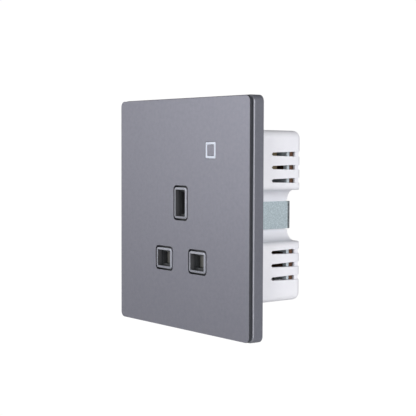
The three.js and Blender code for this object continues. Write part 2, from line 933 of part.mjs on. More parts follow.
// Room for a case pillar: round towards the middle, open to the corner.
function pillarCuts(depths) {
  const size = housingFront / 2;
  return corners.map(([sideX, sideZ]) => join(
    rod(sideX * caseScrewX, sideZ * caseScrewZ, pillarRadius + looseClearance, depths),
    blockAt(sideX * (caseScrewX + size / 2), sideZ * (caseScrewZ + size / 2), size, size, depths),
  ));
}

function powerBoard() {
  const board = pushDepth(
    waistOutline(powerBoardBack, boardEdgeGap),
    [powerBoardFront, powerBoardBack],
  );
  const around = [powerBoardFront - 1, powerBoardBack + 1];
  const driverHoles = terminals.map(({ x }) => rod(x, terminalZ, terminalHeadRadius, around));
  const strapBoss = rod(0, 0, 3.4, around);
  return cut(board, ...pillarCuts(around), ...driverHoles, strapBoss);
}

function boardRetainer() {
  const back = powerBoardFront - seat;
  const front = back - retainerThickness;
  const around = [front - 1, back + 1];
  const outside = pushDepth(waistOutline(powerBoardBack, boardEdgeGap), [front, back]);
  const middle = pushDepth(waistOutline(powerBoardBack, boardEdgeGap + retainerWidth), around);
  const driverRadius = terminalHeadRadius + looseClearance;
  const collars = [
    ...corners.map(([sideX, sideZ]) => rod(
      sideX * caseScrewX,
      sideZ * caseScrewZ,
      pillarRadius + looseClearance + retainerWidth,
      around,
    )),
    ...terminals.map(({ x }) => rod(x, terminalZ, driverRadius + retainerEyeWall, around)),
  ];
  const driverHoles = terminals.map(({ x }) => rod(x, terminalZ, driverRadius, around));
  return cut(outside, cut(middle, ...collars), ...pillarCuts(around), ...driverHoles);
}

function controlBoard() {
  const half = housingFront / 2 - housingDraft * controlBoardBack - housingWall - controlBoardEdgeGap;
  const board = block(
    [-half, half],
    [controlBoardFront, controlBoardBack],
    [controlBoardBottom, half],
  );
  return cut(board, ...pillarCuts([controlBoardFront - 1, controlBoardBack + 1]));
}

// A block standing at one of the places listed above.
function boxOf({ x = 0, z, width, height }, depths) {
  return blockAt(x, z, width, height, depths);
}

function radioModule() {
  return boxOf(moduleBox, [controlBoardFront - moduleBox.thickness, controlBoardFront - seat]);
}

function radioShield() {
  const front = controlBoardFront - shieldCan.rise;
  const back = controlBoardFront - moduleBox.thickness - seat;
  const hollow = blockAt(
    shieldCan.x,
    shieldCan.z,
    shieldCan.width - 2 * shieldCan.wall,
    shieldCan.height - 2 * shieldCan.wall,
    [front + shieldCan.wall, back + 1],
  );
  return cut(boxOf(shieldCan, [front, back]), hollow);
}

function touchSpring() {
  const { radius, wire, turns } = touchCoil;
  const length = controlBoardFront - insertFront - wire - 2 * seat;
  const geometry = coil(radius, length, turns, wire);
  geometry.rotateX(-Math.PI / 2);
  geometry.translate(keyX, insertFront + wire / 2 + seat, keyZ);
  return solidOf(geometry);
}

function indicatorLight() {
  const { size, rise } = lightChip;
  return blockAt(keyX, keyZ, size, size, [controlBoardFront - rise, controlBoardFront - seat]);
}

const componentBack = powerBoardFront - seat;

function filmCapacitor() {
  return boxOf(filmBox, [controlBoardBack + seat, filmBox.back]);
}

function bulkCapacitor() {
  const { x, z, radius, neck, front, neckFrom, neckTo } = bulkCan;
  const groove = cut(
    rod(x, z, radius + 1, [componentBack - neckFrom, componentBack - neckTo], 24),
    rod(x, z, neck, [componentBack - neckFrom - 1, componentBack], 24),
  );
  return cut(rod(x, z, radius, [front, componentBack], 24), groove);
}

function relay() {
  const { x, z, size, rise } = relayPip;
  const pip = blockAt(x, z, size, size, [relayBox.front - rise, relayBox.front + seat]);
  return join(boxOf(relayBox, [relayBox.front, componentBack]), pip);
}

function transformerCore() {
  const around = [coreFrame.front - 1, coreFrame.back + 1];
  return cut(
    boxOf({ ...coreFrame, z: transformerZ }, [coreFrame.front, coreFrame.back]),
    boxOf({ ...coreWindow, z: transformerZ }, around),
  );
}

function transformerCoil() {
  return join(
    boxOf({ ...winding, z: transformerZ }, [winding.front, windingBase.front + 1]),
    boxOf({ ...windingBase, z: transformerZ }, [windingBase.front, componentBack]),
  );
}

function boardHeader() {
  const { x, z, pins: count, pitch, needle, height, needleEnd } = headerRow;
  const foot = blockAt(x, z, pitch, count * pitch, [componentBack - height, componentBack]);
  const needles = Array.from({ length: count }, (_, i) => blockAt(
    x,
    z + (i - (count - 1) / 2) * pitch,
    needle,
    needle,
    [controlBoardBack + seat, powerBoardFront - needleEnd],
  ));
  return join(foot, ...needles);
}

function varistor() {
  const { x, y, z, radius, thickness, foot, footHeight } = surgeDisc;
  const disc = new THREE.CylinderGeometry(radius, radius, thickness, 20);
  disc.rotateZ(Math.PI / 2);
  disc.translate(x, y, z);
  return join(solidOf(disc), blockAt(x, z, foot, footHeight, [y + 1, componentBack]));
}

function choke() {
  const { x, z, radius, waist, front, flange } = drumCoil;
  const groove = cut(
    rod(x, z, radius + 1, [front + flange, componentBack - flange], 20),
    rod(x, z, waist, [front, componentBack], 20),
  );
  return cut(rod(x, z, radius, [front, componentBack], 20), groove);
}

function fuse() {
  const { x, y, radius, length, leg, legAt } = fuseTube;
  const barrel = new THREE.CylinderGeometry(radius, radius, length, 16);
  barrel.rotateX(Math.PI / 2);
  barrel.translate(x, y, 0);
  const legs = [-1, 1].map((side) => blockAt(x, side * legAt, leg, leg, [y, componentBack]));
  return join(solidOf(barrel), ...legs);
}

// ---------------------------------------------------------------- rear housing

// The lug notch in one side, as an outline on X and Z. A margin makes it larger all round.
function notchOutline(side, margin) {
  const floor = notchFloor - margin;
  const half = notchHalf + margin;
  const inner = notchInnerFillet + margin;
  const outer = Math.max(notchOuterFillet - margin, 0.4);
  const wall = housingFront / 2 - housingDraft * housingDepth;
  const outside = housingFront / 2 + 5;
  const shape = new THREE.Shape();
  shape.moveTo(floor, -(half - inner));
  shape.absarc(floor + inner, -(half - inner), inner, Math.PI, 1.5 * Math.PI);
  shape.lineTo(wall - outer, -half);
  shape.absarc(wall - outer, -half - outer, outer, Math.PI / 2, 0, true);
  shape.lineTo(outside, -half - outer);
  shape.lineTo(outside, half + outer);
  shape.lineTo(wall, half + outer);
  shape.absarc(wall - outer, half + outer, outer, 0, -Math.PI / 2, true);
  shape.lineTo(floor + inner, half);
  shape.absarc(floor + inner, half - inner, inner, Math.PI / 2, Math.PI);
  shape.closePath();
  if (side > 0) {
    return shape;
  }
  const mirrored = shape.getPoints(fineArc).map((p) => new THREE.Vector2(-p.x, p.y));
  return new THREE.Shape(mirrored.reverse());
}

function ventCuts(side, z) {
  const frontHalf = ventFrontHeight / 2;
  const backHalf = ventBackHeight / 2;
  const outline = new THREE.Shape();
  outline.moveTo(ventStart + frontHalf, z + frontHalf);
  outline.absarc(ventStart + frontHalf, z, frontHalf, Math.PI / 2, 1.5 * Math.PI);
  outline.lineTo(ventEnd, z - backHalf);
  outline.lineTo(ventEnd, z + backHalf);
  outline.closePath();
  const wallFace = housingFront / 2 - housingDraft * ventEnd;
  const outside = housingFront / 2 + 2;
  const across = side > 0 ? [wallFace - ventReach, outside] : [-outside, ventReach - wallFace];
  const slot = pushAcross(outline, across);
  const grooveX = wallFace - ventGrooveDepth;
  const sideGroove = block(
    side > 0 ? [grooveX, outside] : [-outside, -grooveX],
    [ventEnd - 0.2, housingDepth + 1],
    [z - backHalf, z + backHalf],
  );
  const reachX = grooveX - ventGrooveReach;
  const backGroove = block(
    side > 0 ? [reachX, outside] : [-outside, -reachX],
    [housingDepth - ventGrooveDepth, housingDepth + 1],
    [z - backHalf, z + backHalf],
  );
  return [slot, sideGroove, backGroove];
}

function housingShell(margin, front, back, round) {
  const halfAt = (depth) => housingFront / 2 - housingDraft * depth - margin;
  const corner = housingCorner - margin;
  const sections = [{
    y: front,
    halfWidth: halfAt(front),
    halfHeight: halfAt(front),
    radius: corner,
  }];
  for (let step = 0; step <= fineSteps; step += 1) {
    const angle = (step / fineSteps) * Math.PI / 2;
    const inset = round * (1 - Math.cos(angle));
    const half = halfAt(back - round) - inset;
    sections.push({
      y: back - round + round * Math.sin(angle),
      halfWidth: half,
      halfHeight: half,
      radius: Math.max(corner - inset, 0.5),
    });
  }
  return loft(sections);
}

function rearHousing() {
  const through = [rimFront - 1, housingDepth + 1];
  const notches = [-1, 1].map((side) => pushDepth(notchOutline(side, 0), through, fineArc));
  const innerNotches = [-1, 1].map((side) => pushDepth(
    notchOutline(side, housingWall),
    through,
    plainArc,
  ));
  const outside = cut(housingShell(0, rimFront, housingDepth, housingBackRound), ...notches);
  const inside = cut(housingShell(housingWall, rimFront - 1, housingBackInside, 1), ...innerNotches);
  const pillars = corners.map(([sideX, sideZ]) => rod(
    sideX * caseScrewX,
    sideZ * caseScrewZ,
    pillarRadius,
    [pillarFront, housingBackInside + 0.5],
  ));
  const boss = rod(0, 0, strapBossRadius, [powerBoardFront + seat, housingBackInside + 0.5]);
  const ledgeAt = boardLedgeInset + boardLedgeSize / 2;
  const ledges = corners.map(([sideX, sideZ]) => blockAt(
    sideX * ledgeAt,
    sideZ * ledgeAt,
    boardLedgeSize,
    boardLedgeSize,
    [powerBoardBack + seat, housingBackInside + 0.5],
  ));
  const screwHoles = corners.flatMap(([sideX, sideZ]) => [
    rod(sideX * caseScrewX, sideZ * caseScrewZ, caseScrewRadius + screwClearance, through, 16),
    rod(
      sideX * caseScrewX,
      sideZ * caseScrewZ,
      caseHeadRadius + screwClearance,
      [housingDepth - caseHeadHeight - 0.3, housingDepth + 1],
    ),
  ]);
  const strapHole = rod(0, 0, strapScrewRadius + screwClearance, [powerBoardFront, housingDepth + 1]);
  const driverHoles = terminals.map(({ x }) => rod(
    x,
    terminalZ,
    terminalHeadRadius + runningClearance,
    [powerBoardBack, housingDepth + 1],
  ));
  const wireHoles = terminals.map(({ x }) => block(
    [x - wireHoleWidth / 2, x + wireHoleWidth / 2],
    [busbarFront - wireGap - 0.2, busbarFront + 0.2],
    [-housingFront / 2 - 2, -housingFront / 2 + 5],
  ));
  const chamferHalf = strapWidth / 2 + notchChamferMargin;
  const chamfers = [-1, 1].map((side) => pushUp(polygon([
    [side * (notchFloor - notchBackChamfer), housingDepth],
    [side * (notchFloor + 1), housingDepth - notchBackChamfer - 1],
    [side * (notchFloor + 1), housingDepth + 1],
    [side * (notchFloor - notchBackChamfer), housingDepth + 1],
  ]), [-chamferHalf, chamferHalf]));
  const vents = [-1, 1].flatMap((side) => ventHeights.flatMap((z) => [
    ...ventCuts(side, z),
    ...ventCuts(side, -z),
  ]));
  const tub = join(cut(outside, inside), ...pillars.map((p) => p.intersect(outside)), boss, ...ledges);
  return cut(tub, ...screwHoles, strapHole, ...driverHoles, ...wireHoles, ...chamfers, ...vents);
}

function caseScrew(sideX, sideZ) {
  const x = sideX * caseScrewX;
  const z = sideZ * caseScrewZ;
  const headFront = housingDepth - caseHeadHeight - 0.2;
  const headBack = headFront + caseHeadHeight;
  const shaft = rod(x, z, caseScrewRadius, [insertBack + 1, headFront + seat], 16);
  const head = rod(x, z, caseHeadRadius, [headFront, headBack], 20);
  return cut(join(shaft, head), crossRecess(x, z, 2.2, [headBack - 0.9, headBack + 1]));
}

// ---------------------------------------------------------------- mounting strap

const strapBackFace = housingDepth + seat + strapThickness;

function mountingStrap() {
  const legX = notchFloor + seat + strapThickness / 2;
  const backY = housingDepth + seat + strapThickness / 2;
  const earY = -seat - strapThickness / 2;
  const outline = stripOutline([
    [earReach, earY],
    [legX, earY],
    [legX, backY],
    [-legX, backY],
    [-legX, earY],
    [-earReach, earY],
  ], strapThickness, strapBend - strapThickness / 2);
  const strip = pushUp(outline, [-strapWidth / 2, strapWidth / 2]);
  const trimmed = strip.intersect(pushDepth(
    roundedRect(0, 0, 2 * earReach, strapWidth, earCorner),
    [earY - 5, strapBackFace + 1],
  ));
  const slots = [-1, 1].map((side) => pushDepth(
    roundedRect(
      side * fixingCentres / 2,
      0,
      fixingSlotWidth,
      fixingSlotLength,
      fixingSlotWidth / 2 - 0.01,
    ),
    [earY - 2, earY + 2],
    fineArc,
  ));
  const screwHole = rod(0, 0, strapScrewRadius + screwClearance, [housingDepth - 1, strapBackFace + 1]);
  return cut(trimmed, ...slots, screwHole);
}

function strapScrew() {
  const headFront = strapBackFace + seat;
  const headBack = headFront + strapHeadHeight;
  const shaft = rod(0, 0, strapScrewRadius, [powerBoardFront + 0.9, headFront + seat]);
  const head = rod(0, 0, strapHeadRadius, [headFront, headBack]);
  return cut(join(shaft, head), crossRecess(0, 0, 3.4, [headBack - 1.1, headBack + 1]));
}

// ---------------------------------------------------------------- assembly

const group = new THREE.Group();

function place(name, solid, material) {
  group.add(meshOf(name, solid, material));
}

place('front_panel', frontPanel(), finishes.panelPaint());
place('indicator_ring', indicatorRing(), finishes.lightGuide());
place('touch_pad', touchPad(), finishes.panelPaint());
place('mounting_frame', mountingFrame(), finishes.framePaint());
place('socket_insert', socketInsert(), finishes.insert());
pins.forEach((hole) => place(`${hole.name}_collar`, collar(hole), finishes.collar()));

place('shutter', shutter(), finishes.shutter());
place('shutter_spring', shutterSpring(), finishes.springSteel());
place('contact_carrier', contactCarrier(), finishes.carrier());
place('earth_contact', earthContact(pins[0]), finishes.brass());
place('neutral_contact', flatContact(pins[1]), finishes.bronze());
place('live_contact', flatContact(pins[2]), finishes.bronze());

terminals.forEach(({ name, x }) => {
  place(`${name}_terminal_bar`, terminalBar(x), finishes.brass());
  place(`${name}_terminal_clamp`, terminalClamp(x), finishes.steel());
  place(`${name}_terminal_screw`, terminalScrew(x), finishes.steel());
});

place('power_board', powerBoard(), finishes.phenolic());
place('board_retainer', boardRetainer(), finishes.retainer());
place('relay', relay(), finishes.black());
place('transformer_core', transformerCore(), finishes.ferrite());
place('transformer_coil', transformerCoil(), finishes.tape());
place('bulk_capacitor', bulkCapacitor(), finishes.black());
place('film_capacitor', filmCapacitor(), finishes.beigeBody());
place('varistor', varistor(), finishes.blueBody());
place('choke', choke(), finishes.ferrite());
place('fuse', fuse(), finishes.tin());
place('board_header', boardHeader(), finishes.black());

place('control_board', controlBoard(), finishes.greenBoard());
place('radio_module', radioModule(), finishes.greenBoard());
place('radio_shield', radioShield(), finishes.tin());
place('touch_spring', touchSpring(), finishes.springSteel());
place('indicator_light', indicatorLight(), finishes.lightGuide());

place('rear_housing', rearHousing(), finishes.whitePlastic());
corners.forEach(([sideX, sideZ], i) => {
  place(`case_screw_${i + 1}`, caseScrew(sideX, sideZ), finishes.springSteel());
});
place('mounting_strap', mountingStrap(), finishes.steel());
place('strap_screw', strapScrew(), finishes.springSteel());

export default group;
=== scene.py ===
# A flush smart wall socket, from the rear housing in the wall box to the panel in front.
# Sizes below are in millimetres and are turned to metres where a mesh is made.
import math

import bmesh
import bpy
from mathutils import Matrix, Vector


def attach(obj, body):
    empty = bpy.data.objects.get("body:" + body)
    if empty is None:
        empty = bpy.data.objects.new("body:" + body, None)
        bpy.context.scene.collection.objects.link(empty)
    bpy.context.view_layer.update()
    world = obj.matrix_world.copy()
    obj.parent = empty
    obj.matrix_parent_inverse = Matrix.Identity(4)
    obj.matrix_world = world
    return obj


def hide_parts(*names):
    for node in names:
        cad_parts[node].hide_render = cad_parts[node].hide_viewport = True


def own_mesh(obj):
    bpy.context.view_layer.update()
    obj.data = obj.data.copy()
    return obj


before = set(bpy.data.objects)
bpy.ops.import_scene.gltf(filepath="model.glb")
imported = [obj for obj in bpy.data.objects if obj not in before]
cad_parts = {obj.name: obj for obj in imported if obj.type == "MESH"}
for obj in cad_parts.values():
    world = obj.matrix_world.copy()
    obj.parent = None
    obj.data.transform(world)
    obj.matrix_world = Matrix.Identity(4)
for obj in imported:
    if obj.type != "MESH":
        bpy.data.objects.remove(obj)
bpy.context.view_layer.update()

# ---------------------------------------------------------------- rear housing
# The white tub that sits in the wall box, moulded in flame-retardant polycarbonate with a
# light spark-eroded texture. Its sides draw in towards the back, a notch in each clears
# the box's lug, and six tapering vents open each side round on to the back.

MM = 0.001
MERGE_WITHIN = 0.002 * MM
FLAT_WITHIN = math.radians(0.4)
ROUNDED_FROM = math.radians(32)
SMOOTH_BELOW = 50
HOUSING_EDGE = 0.18


def merged_copy(node):
    """The mesh of a CAD node with its triangles merged into whole faces."""
    bm = bmesh.new()
    bm.from_mesh(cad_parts[node].data)
    bmesh.ops.remove_doubles(bm, verts=bm.verts, dist=MERGE_WITHIN)
    bmesh.ops.dissolve_degenerate(bm, edges=bm.edges, dist=MERGE_WITHIN)
    bmesh.ops.dissolve_limit(
        bm, angle_limit=FLAT_WITHIN, verts=bm.verts, edges=bm.edges, delimit={"MATERIAL"}
    )
    return bm


def piece_from(name, bm):
    """An object at the origin with this mesh, its faces turned outwards."""
    bmesh.ops.recalc_face_normals(bm, faces=bm.faces)
    mesh = bpy.data.meshes.new(name)
    bm.to_mesh(mesh)
    bm.free()
    piece = bpy.data.objects.new(name, mesh)
    bpy.context.scene.collection.objects.link(piece)
    return piece


def plain_mesh(piece):
    """Makes what the piece's modifiers give its own mesh, and takes them off."""
    seen = piece.evaluated_get(bpy.context.evaluated_depsgraph_get())
    made = bpy.data.meshes.new_from_object(seen)
    piece.modifiers.clear()
    piece.data = made
    made.name = piece.name
    return piece


def smooth_shaded(piece, angle=SMOOTH_BELOW):
    """Smooth shading that keeps flat faces flat next to their rounded edges."""
    for face in piece.data.polygons:
        face.use_smooth = True
    piece.data.set_sharp_from_angle(angle=math.radians(angle))
    weighted = piece.modifiers.new("normals", "WEIGHTED_NORMAL")
    weighted.keep_sharp = True
    weighted.weight = 100
    return plain_mesh(piece)


def round_edges(piece, width):
    """Rounds the sharp edges, and shades what is smooth smooth."""
    bevel = piece.modifiers.new("edges", "BEVEL")
    bevel.width = width * MM
    bevel.segments = 2
    bevel.limit_method = "ANGLE"
    bevel.angle_limit = ROUNDED_FROM
    bevel.use_clamp_overlap = True
    return smooth_shaded(plain_mesh(piece))


def fed(tree, node, **inputs):
    """Wires each named input of a node to a socket, or gives it a value."""
    for name, given in inputs.items():
        target = node.inputs[name.replace("_", " ")]
        if isinstance(given, bpy.types.NodeSocket):
            tree.links.new(given, target)
        else:
            target.default_value = given
    return node


def new_node(tree, kind, **inputs):
    return fed(tree, tree.nodes.new(kind), **inputs)


def noise(tree, scale, detail=2.0):
    """A cloudy pattern on the piece's own coordinates; scale is in clouds a metre."""
    where = new_node(tree, "ShaderNodeTexCoord")
    cloud = new_node(
        tree, "ShaderNodeTexNoise", Vector=where.outputs["Object"], Scale=scale, Detail=detail
    )
    return cloud.outputs[0]


def ramped(tree, value, *stops):
    """Colours for a value between 0 and 1; each stop is (place, colour)."""
    ramp = new_node(tree, "ShaderNodeValToRGB", Fac=value)
    elements = ramp.color_ramp.elements
    while len(elements) < len(stops):
        elements.new(0.5)
    for element, (place, colour) in zip(elements, stops):
        element.position = place
        element.color = (*colour, 1)
    return ramp.outputs["Color"]


def ranged(tree, value, low, high):
    """The middle of a pattern's values, spread over low to high."""
    spread = new_node(
        tree, "ShaderNodeMapRange", Value=value, From_Min=0.3, From_Max=0.7, To_Min=low, To_Max=high
    )
    return spread.outputs["Result"]


def relief(tree, value, height):
    """Normals for a relief of this height in millimetres."""
    bump = new_node(tree, "ShaderNodeBump", Strength=1.0, Distance=height * MM, Height=value)
    return bump.outputs["Normal"]


def new_finish(name, **sockets):
    """A material with one Principled shader, and the sockets set that stay the same all over."""
    material = bpy.data.materials.new(name)
    material.use_nodes = True
    tree = material.node_tree
    return material, tree, fed(tree, tree.nodes["Principled BSDF"], **sockets)


def moulded_finish(name, shade, tint, grain, depth, rough, mottle, **sockets):
    """Moulded plastic: broad uneven tone, fine texture of the tool, roughness that follows it."""
    material, tree, shader = new_finish(name, **sockets)
    texture = noise(tree, grain, 3)
    fed(
        tree,
        shader,
        Base_Color=ramped(tree, noise(tree, mottle, 3), (0.32, shade), (0.68, tint)),
        Roughness=ranged(tree, texture, rough - 0.06, rough + 0.06),
        Normal=relief(tree, texture, depth),
    )
    return material


def dress(piece, *materials):
    piece.data.materials.clear()
    for material in materials:
        piece.data.materials.append(material)
    return piece


def stands_for(piece, slot, *nodes, body="root"):
    """The piece takes the place of these CAD nodes and moves with the body; the slot is not used.
    """
    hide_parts(*nodes)
    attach(piece, body)


def finished(name, node, finish, slot, edge, body="root"):
    """A piece shaped as its CAD node, with its edges rounded and its finish on."""
    piece = piece_from(name, merged_copy(node))
    dress(round_edges(piece, edge), finish)
    stands_for(piece, slot, node, body=body)


housing_white = moulded_finish(
    "housing_white", (0.79, 0.79, 0.84), (0.83, 0.83, 0.87), 5200, 0.012, 0.42, mottle=60,
    Specular_IOR_Level=0.45,
)
finished("housing_tub", "rear_housing", housing_white, "white_plastic", HOUSING_EDGE)

# ---------------------------------------------------------------- mounting strap
# A strip of hot-dip galvanised steel, blanked with its two slots and its middle hole and then
# folded round the back of the housing. The zinc at the two rear bends is coloured much darker:
# painted shade, where the bends curve away from the light. Its ears carry the screws into the
# wall box lugs.

STRAP_WIDTH = 10.5
STRAP_THICKNESS = 1.2
STRAP_LEG = 24.7
STRAP_BACK = 28.2
STRAP_EAR = -0.7
STRAP_REACH = 37.0
STRAP_BEND = 1.6
STRAP_EAR_CORNER = 2.0
STRAP_HOLE = 1.85
STRAP_EDGE = 0.12
FIXING_CENTRES = 60.3
FIXING_SLOT = (3.9, 6.4)
SHORT_OF_ROUND = 0.01
BEND_CUTS = 8
QUARTER_BEND = STRAP_BEND * math.pi / 2
# From the middle of the back to the tip of an ear: each stretch's length, and which way it turns.
STRAP_PATH = (
    (STRAP_LEG - STRAP_BEND, 0),
    (QUARTER_BEND, -1),
    (STRAP_BACK - STRAP_EAR - 2 * STRAP_BEND, 0),
    (QUARTER_BEND, 1),
    (STRAP_REACH - STRAP_LEG - STRAP_BEND, 0),
)


def rounded_outline(x, z, width, height, corner, steps=6):
    """Points round a rectangle with rounded corners, anticlockwise."""
    points = []
    for quarter, (side_x, side_z) in enumerate(((1, 1), (-1, 1), (-1, -1), (1, -1))):
        middle_x = x + side_x * (width / 2 - corner)
        middle_z = z + side_z * (height / 2 - corner)
        for step in range(steps + 1):
            angle = (quarter + step / steps) * math.pi / 2
            points.append(
                (middle_x + corner * math.cos(angle), middle_z + corner * math.sin(angle))
            )
    return points


def plate(outlines, front, back, edge, segments):
    """A flat plate with holes and rounded edges, standing across Y, as a bmesh."""
    curve = bpy.data.curves.new("outline", "CURVE")
    curve.dimensions = "2D"
    curve.fill_mode = "BOTH"
    curve.extrude = ((back - front) / 2 - edge) * MM
    curve.bevel_depth = edge * MM
    curve.bevel_resolution = segments
    curve.offset = -edge * MM
    for outline in outlines:
        spline = curve.splines.new("POLY")
        spline.points.add(len(outline) - 1)
        for point, (x, z) in zip(spline.points, outline):
            point.co = (x * MM, z * MM, 0, 1)
        spline.use_cyclic_u = True
    flat = bpy.data.objects.new("outline", curve)
    bpy.context.scene.collection.objects.link(flat)
    mesh = bpy.data.meshes.new_from_object(
        flat.evaluated_get(bpy.context.evaluated_depsgraph_get())
    )
    mesh.transform(
        Matrix.Translation((0, (front + back) / 2 * MM, 0)) @ Matrix.Rotation(math.pi / 2, 4, "X")
    )
    bm = bmesh.new()
    bm.from_mesh(mesh)
    bmesh.ops.remove_doubles(bm, verts=bm.verts, dist=MERGE_WITHIN)
    bpy.data.objects.remove(flat)
    bpy.data.meshes.remove(mesh)
    return bm


def folded(point):
    """Where a point of the flat strip comes to lie. X runs along the strip and Y is through it."""
    left = abs(point.x) / MM
    x, y, heading = 0.0, STRAP_BACK, 0.0
    for length, turn in STRAP_PATH:
        run = min(left, length)
        if turn:
            ahead = heading + turn * run / STRAP_BEND
            x += turn * STRAP_BEND * (math.sin(ahead) - math.sin(heading))
            y += turn * STRAP_BEND * (math.cos(heading) - math.cos(ahead))
            heading = ahead
        else:
            x += run * math.cos(heading)
            y += run * math.sin(heading)
        left -= run
    x -= math.sin(heading) * point.y / MM
    y += math.cos(heading) * point.y / MM
    return Vector((math.copysign(x, point.x) * MM, y * MM, point.z))


def mounting_strap():
    """The strip as blanked, cut across where it bends, and then folded."""
    half = sum(length for length, turn in STRAP_PATH)
    slot_at = half - (STRAP_REACH - FIXING_CENTRES / 2)
    outlines = [
        rounded_outline(0, 0, 2 * half, STRAP_WIDTH, STRAP_EAR_CORNER),
        rounded_outline(-slot_at, 0, *FIXING_SLOT, FIXING_SLOT[0] / 2 - SHORT_OF_ROUND),
        rounded_outline(slot_at, 0, *FIXING_SLOT, FIXING_SLOT[0] / 2 - SHORT_OF_ROUND),
        rounded_outline(0, 0, 2 * STRAP_HOLE, 2 * STRAP_HOLE, STRAP_HOLE - SHORT_OF_ROUND),
    ]
    bm = plate(outlines, -STRAP_THICKNESS / 2, STRAP_THICKNESS / 2, STRAP_EDGE, 1)
    bends = []
    reached = 0
    for length, turn in STRAP_PATH:
        if turn:
            bends += [reached + length * cut / BEND_CUTS for cut in range(BEND_CUTS + 1)]
        reached += length
    for distance in bends:
        for side in (-1, 1):
            bmesh.ops.bisect_plane(
                bm,
                geom=bm.verts[:] + bm.edges[:] + bm.faces[:],
                plane_co=(side * distance * MM, 0, 0),
                plane_no=(1, 0, 0),
            )
    for vert in bm.verts:
        vert.co = folded(vert.co)
    return piece_from("strap_strip", bm)


def blended(tree, first, second, share):
    """Two patterns as one, with this share of the second."""
    mix = tree.nodes.new("ShaderNodeMix")
    mix.data_type = "FLOAT"
    mix.inputs[0].default_value = share
    tree.links.new(first, mix.inputs[2])
    tree.links.new(second, mix.inputs[3])
    return mix.outputs[0]


def galvanised_finish(name, dark, middle, light):
    """Zinc with a fine spangle: small crystals of uneven tone, dull and slightly blue."""
    material, tree, shader = new_finish(name, Metallic=0.5)
    where = new_node(tree, "ShaderNodeTexCoord")
    crystals = new_node(tree, "ShaderNodeTexVoronoi", Vector=where.outputs["Object"], Scale=2600)
    blend = blended(tree, crystals.outputs[0], noise(tree, 1500, 4), 0.55)
    fed(
        tree,
        shader,
        Base_Color=ramped(tree, blend, (0.25, dark), (0.5, middle), (0.8, light)),
        Roughness=ranged(tree, blend, 0.34, 0.55),
        Normal=relief(tree, blend, 0.01),
    )
    return material


strap = mounting_strap()
for face in strap.data.polygons:
    face.use_smooth = True
strap.data.set_sharp_from_angle(angle=math.radians(40))
flat_zinc = galvanised_finish(
    "galvanised_zinc", (0.40, 0.50, 0.54), (0.55, 0.65, 0.70), (0.74, 0.83, 0.88)
)
# Dark zinc for the two rear bends: painted shade on the curve, not a change in the metal.
bend_shade_zinc = galvanised_finish(
    "bend_shade_zinc", (0.05, 0.06, 0.07), (0.17, 0.19, 0.21), (0.50, 0.55, 0.58)
)
dress(strap, flat_zinc, bend_shade_zinc)
# The faces round the two rear bends take the dark zinc: painted shade.
for face in strap.data.polygons:
    round_bend = abs(face.center.x) > (STRAP_LEG - STRAP_BEND) * MM
    face.material_index = int(round_bend and face.center.y > (STRAP_BACK - STRAP_BEND) * MM)
stands_for(strap, "galvanised_steel", "mounting_strap")

# ---------------------------------------------------------------- case and strap screws
# Zinc-plated pan heads with a cross recess, cold-formed. Four draw the socket insert down on
# to the pillars of the housing, and a larger one in the middle holds the strap.

CASE_SCREW_SPACING = (54.5, 54.9)
CASE_SCREW_HEAD = (2.1, 1.5)
CASE_SCREW_SHANK = (1.2, 27.65)
CASE_SCREW_SEAT = 25.8
CASE_SCREW_RECESS = 1.2
CASE_SCREW_SEED = 3
STRAP_SCREW_HEAD = (3.2, 1.9)
STRAP_SCREW_SHANK = (1.7, 5.05)
STRAP_SCREW_SEAT = 28.9
STRAP_SCREW_RECESS = 1.75
ROUND_SIDES = 32


def turned(profile, sides=ROUND_SIDES):
    """A solid turned about Y from (radius, y) points; the first and last lie on the axis."""
    bm = bmesh.new()
    rings = []
    for radius, y in profile:
        angles = [2 * math.pi * side / sides for side in range(sides if radius else 1)]
        rings.append(
            [
                bm.verts.new((radius * math.cos(angle) * MM, y * MM, radius * math.sin(angle) * MM))
                for angle in angles
            ]
        )
    for inner, outer in zip(rings, rings[1:]):
        for side in range(sides):
            after = (side + 1) % sides
            corners = [inner[side % len(inner)], outer[side % len(outer)]]
            corners += [outer[after % len(outer)], inner[after % len(inner)]]
            bm.faces.new(list(dict.fromkeys(corners)))
    return bm


def wedge(half_long, half_wide, top, bottom, quarter):
    """One arm pair of the cross recess, narrowing as it goes down."""
    bm = bmesh.new()
    verts = []
    for y, share in ((top, 1.0), (bottom, 0.45)):
        for side_x, side_z in ((1, 1), (-1, 1), (-1, -1), (1, -1)):
            x, z = side_x * half_long * share, side_z * half_wide * (0.55 + 0.45 * share)
            if quarter:
                x, z = z, x
            verts.append(bm.verts.new((x * MM, y * MM, z * MM)))
    bm.faces.new(verts[:4])
    bm.faces.new(verts[7:3:-1])
    for side in range(4):
        after = (side + 1) % 4
        bm.faces.new((verts[side], verts[side + 4], verts[after + 4], verts[after]))
    return bm


def cut_from(piece, name, shape):
    """Cuts a shape out of the piece."""
    cutter = piece_from(name, shape)
    boolean = piece.modifiers.new("cut", "BOOLEAN")
    boolean.object = cutter
    boolean.operation = "DIFFERENCE"
    boolean.solver = "EXACT"
    plain_mesh(piece)
    bpy.data.objects.remove(cutter)


def pan_screw(name, head, shank, recess):
    """A pan-head screw on the Y axis: the head's seat at 0, the shank towards -Y."""
    radius, height = head
    thin, length = shank
    rounded = 0.35 * height
    tip = [(0, -length), (thin * 0.7, -length), (thin, -length + 0.5)]
    seat = [(thin, -0.15), (thin + 0.15, 0), (radius - 0.12, 0), (radius, 0.12)]
    rim = []
    for step in range(5):
        turn = math.pi / 2 * step / 4
        inward = rounded * (1 - math.cos(turn))
        rim.append((radius - inward, height * 0.72 - rounded + rounded * math.sin(turn)))
    dome = [
        (radius * share * 0.86, height - 0.28 * height * share**2) for share in (0.8, 0.5, 0.25)
    ]
    screw = piece_from(name, turned([*tip, *seat, *rim, *dome, (0, height)]))
    for quarter in (False, True):
        arms = wedge(recess, recess * 0.24, height + 0.5, height - recess * 0.72, quarter)
        cut_from(screw, "cross_recess", arms)
    return screw


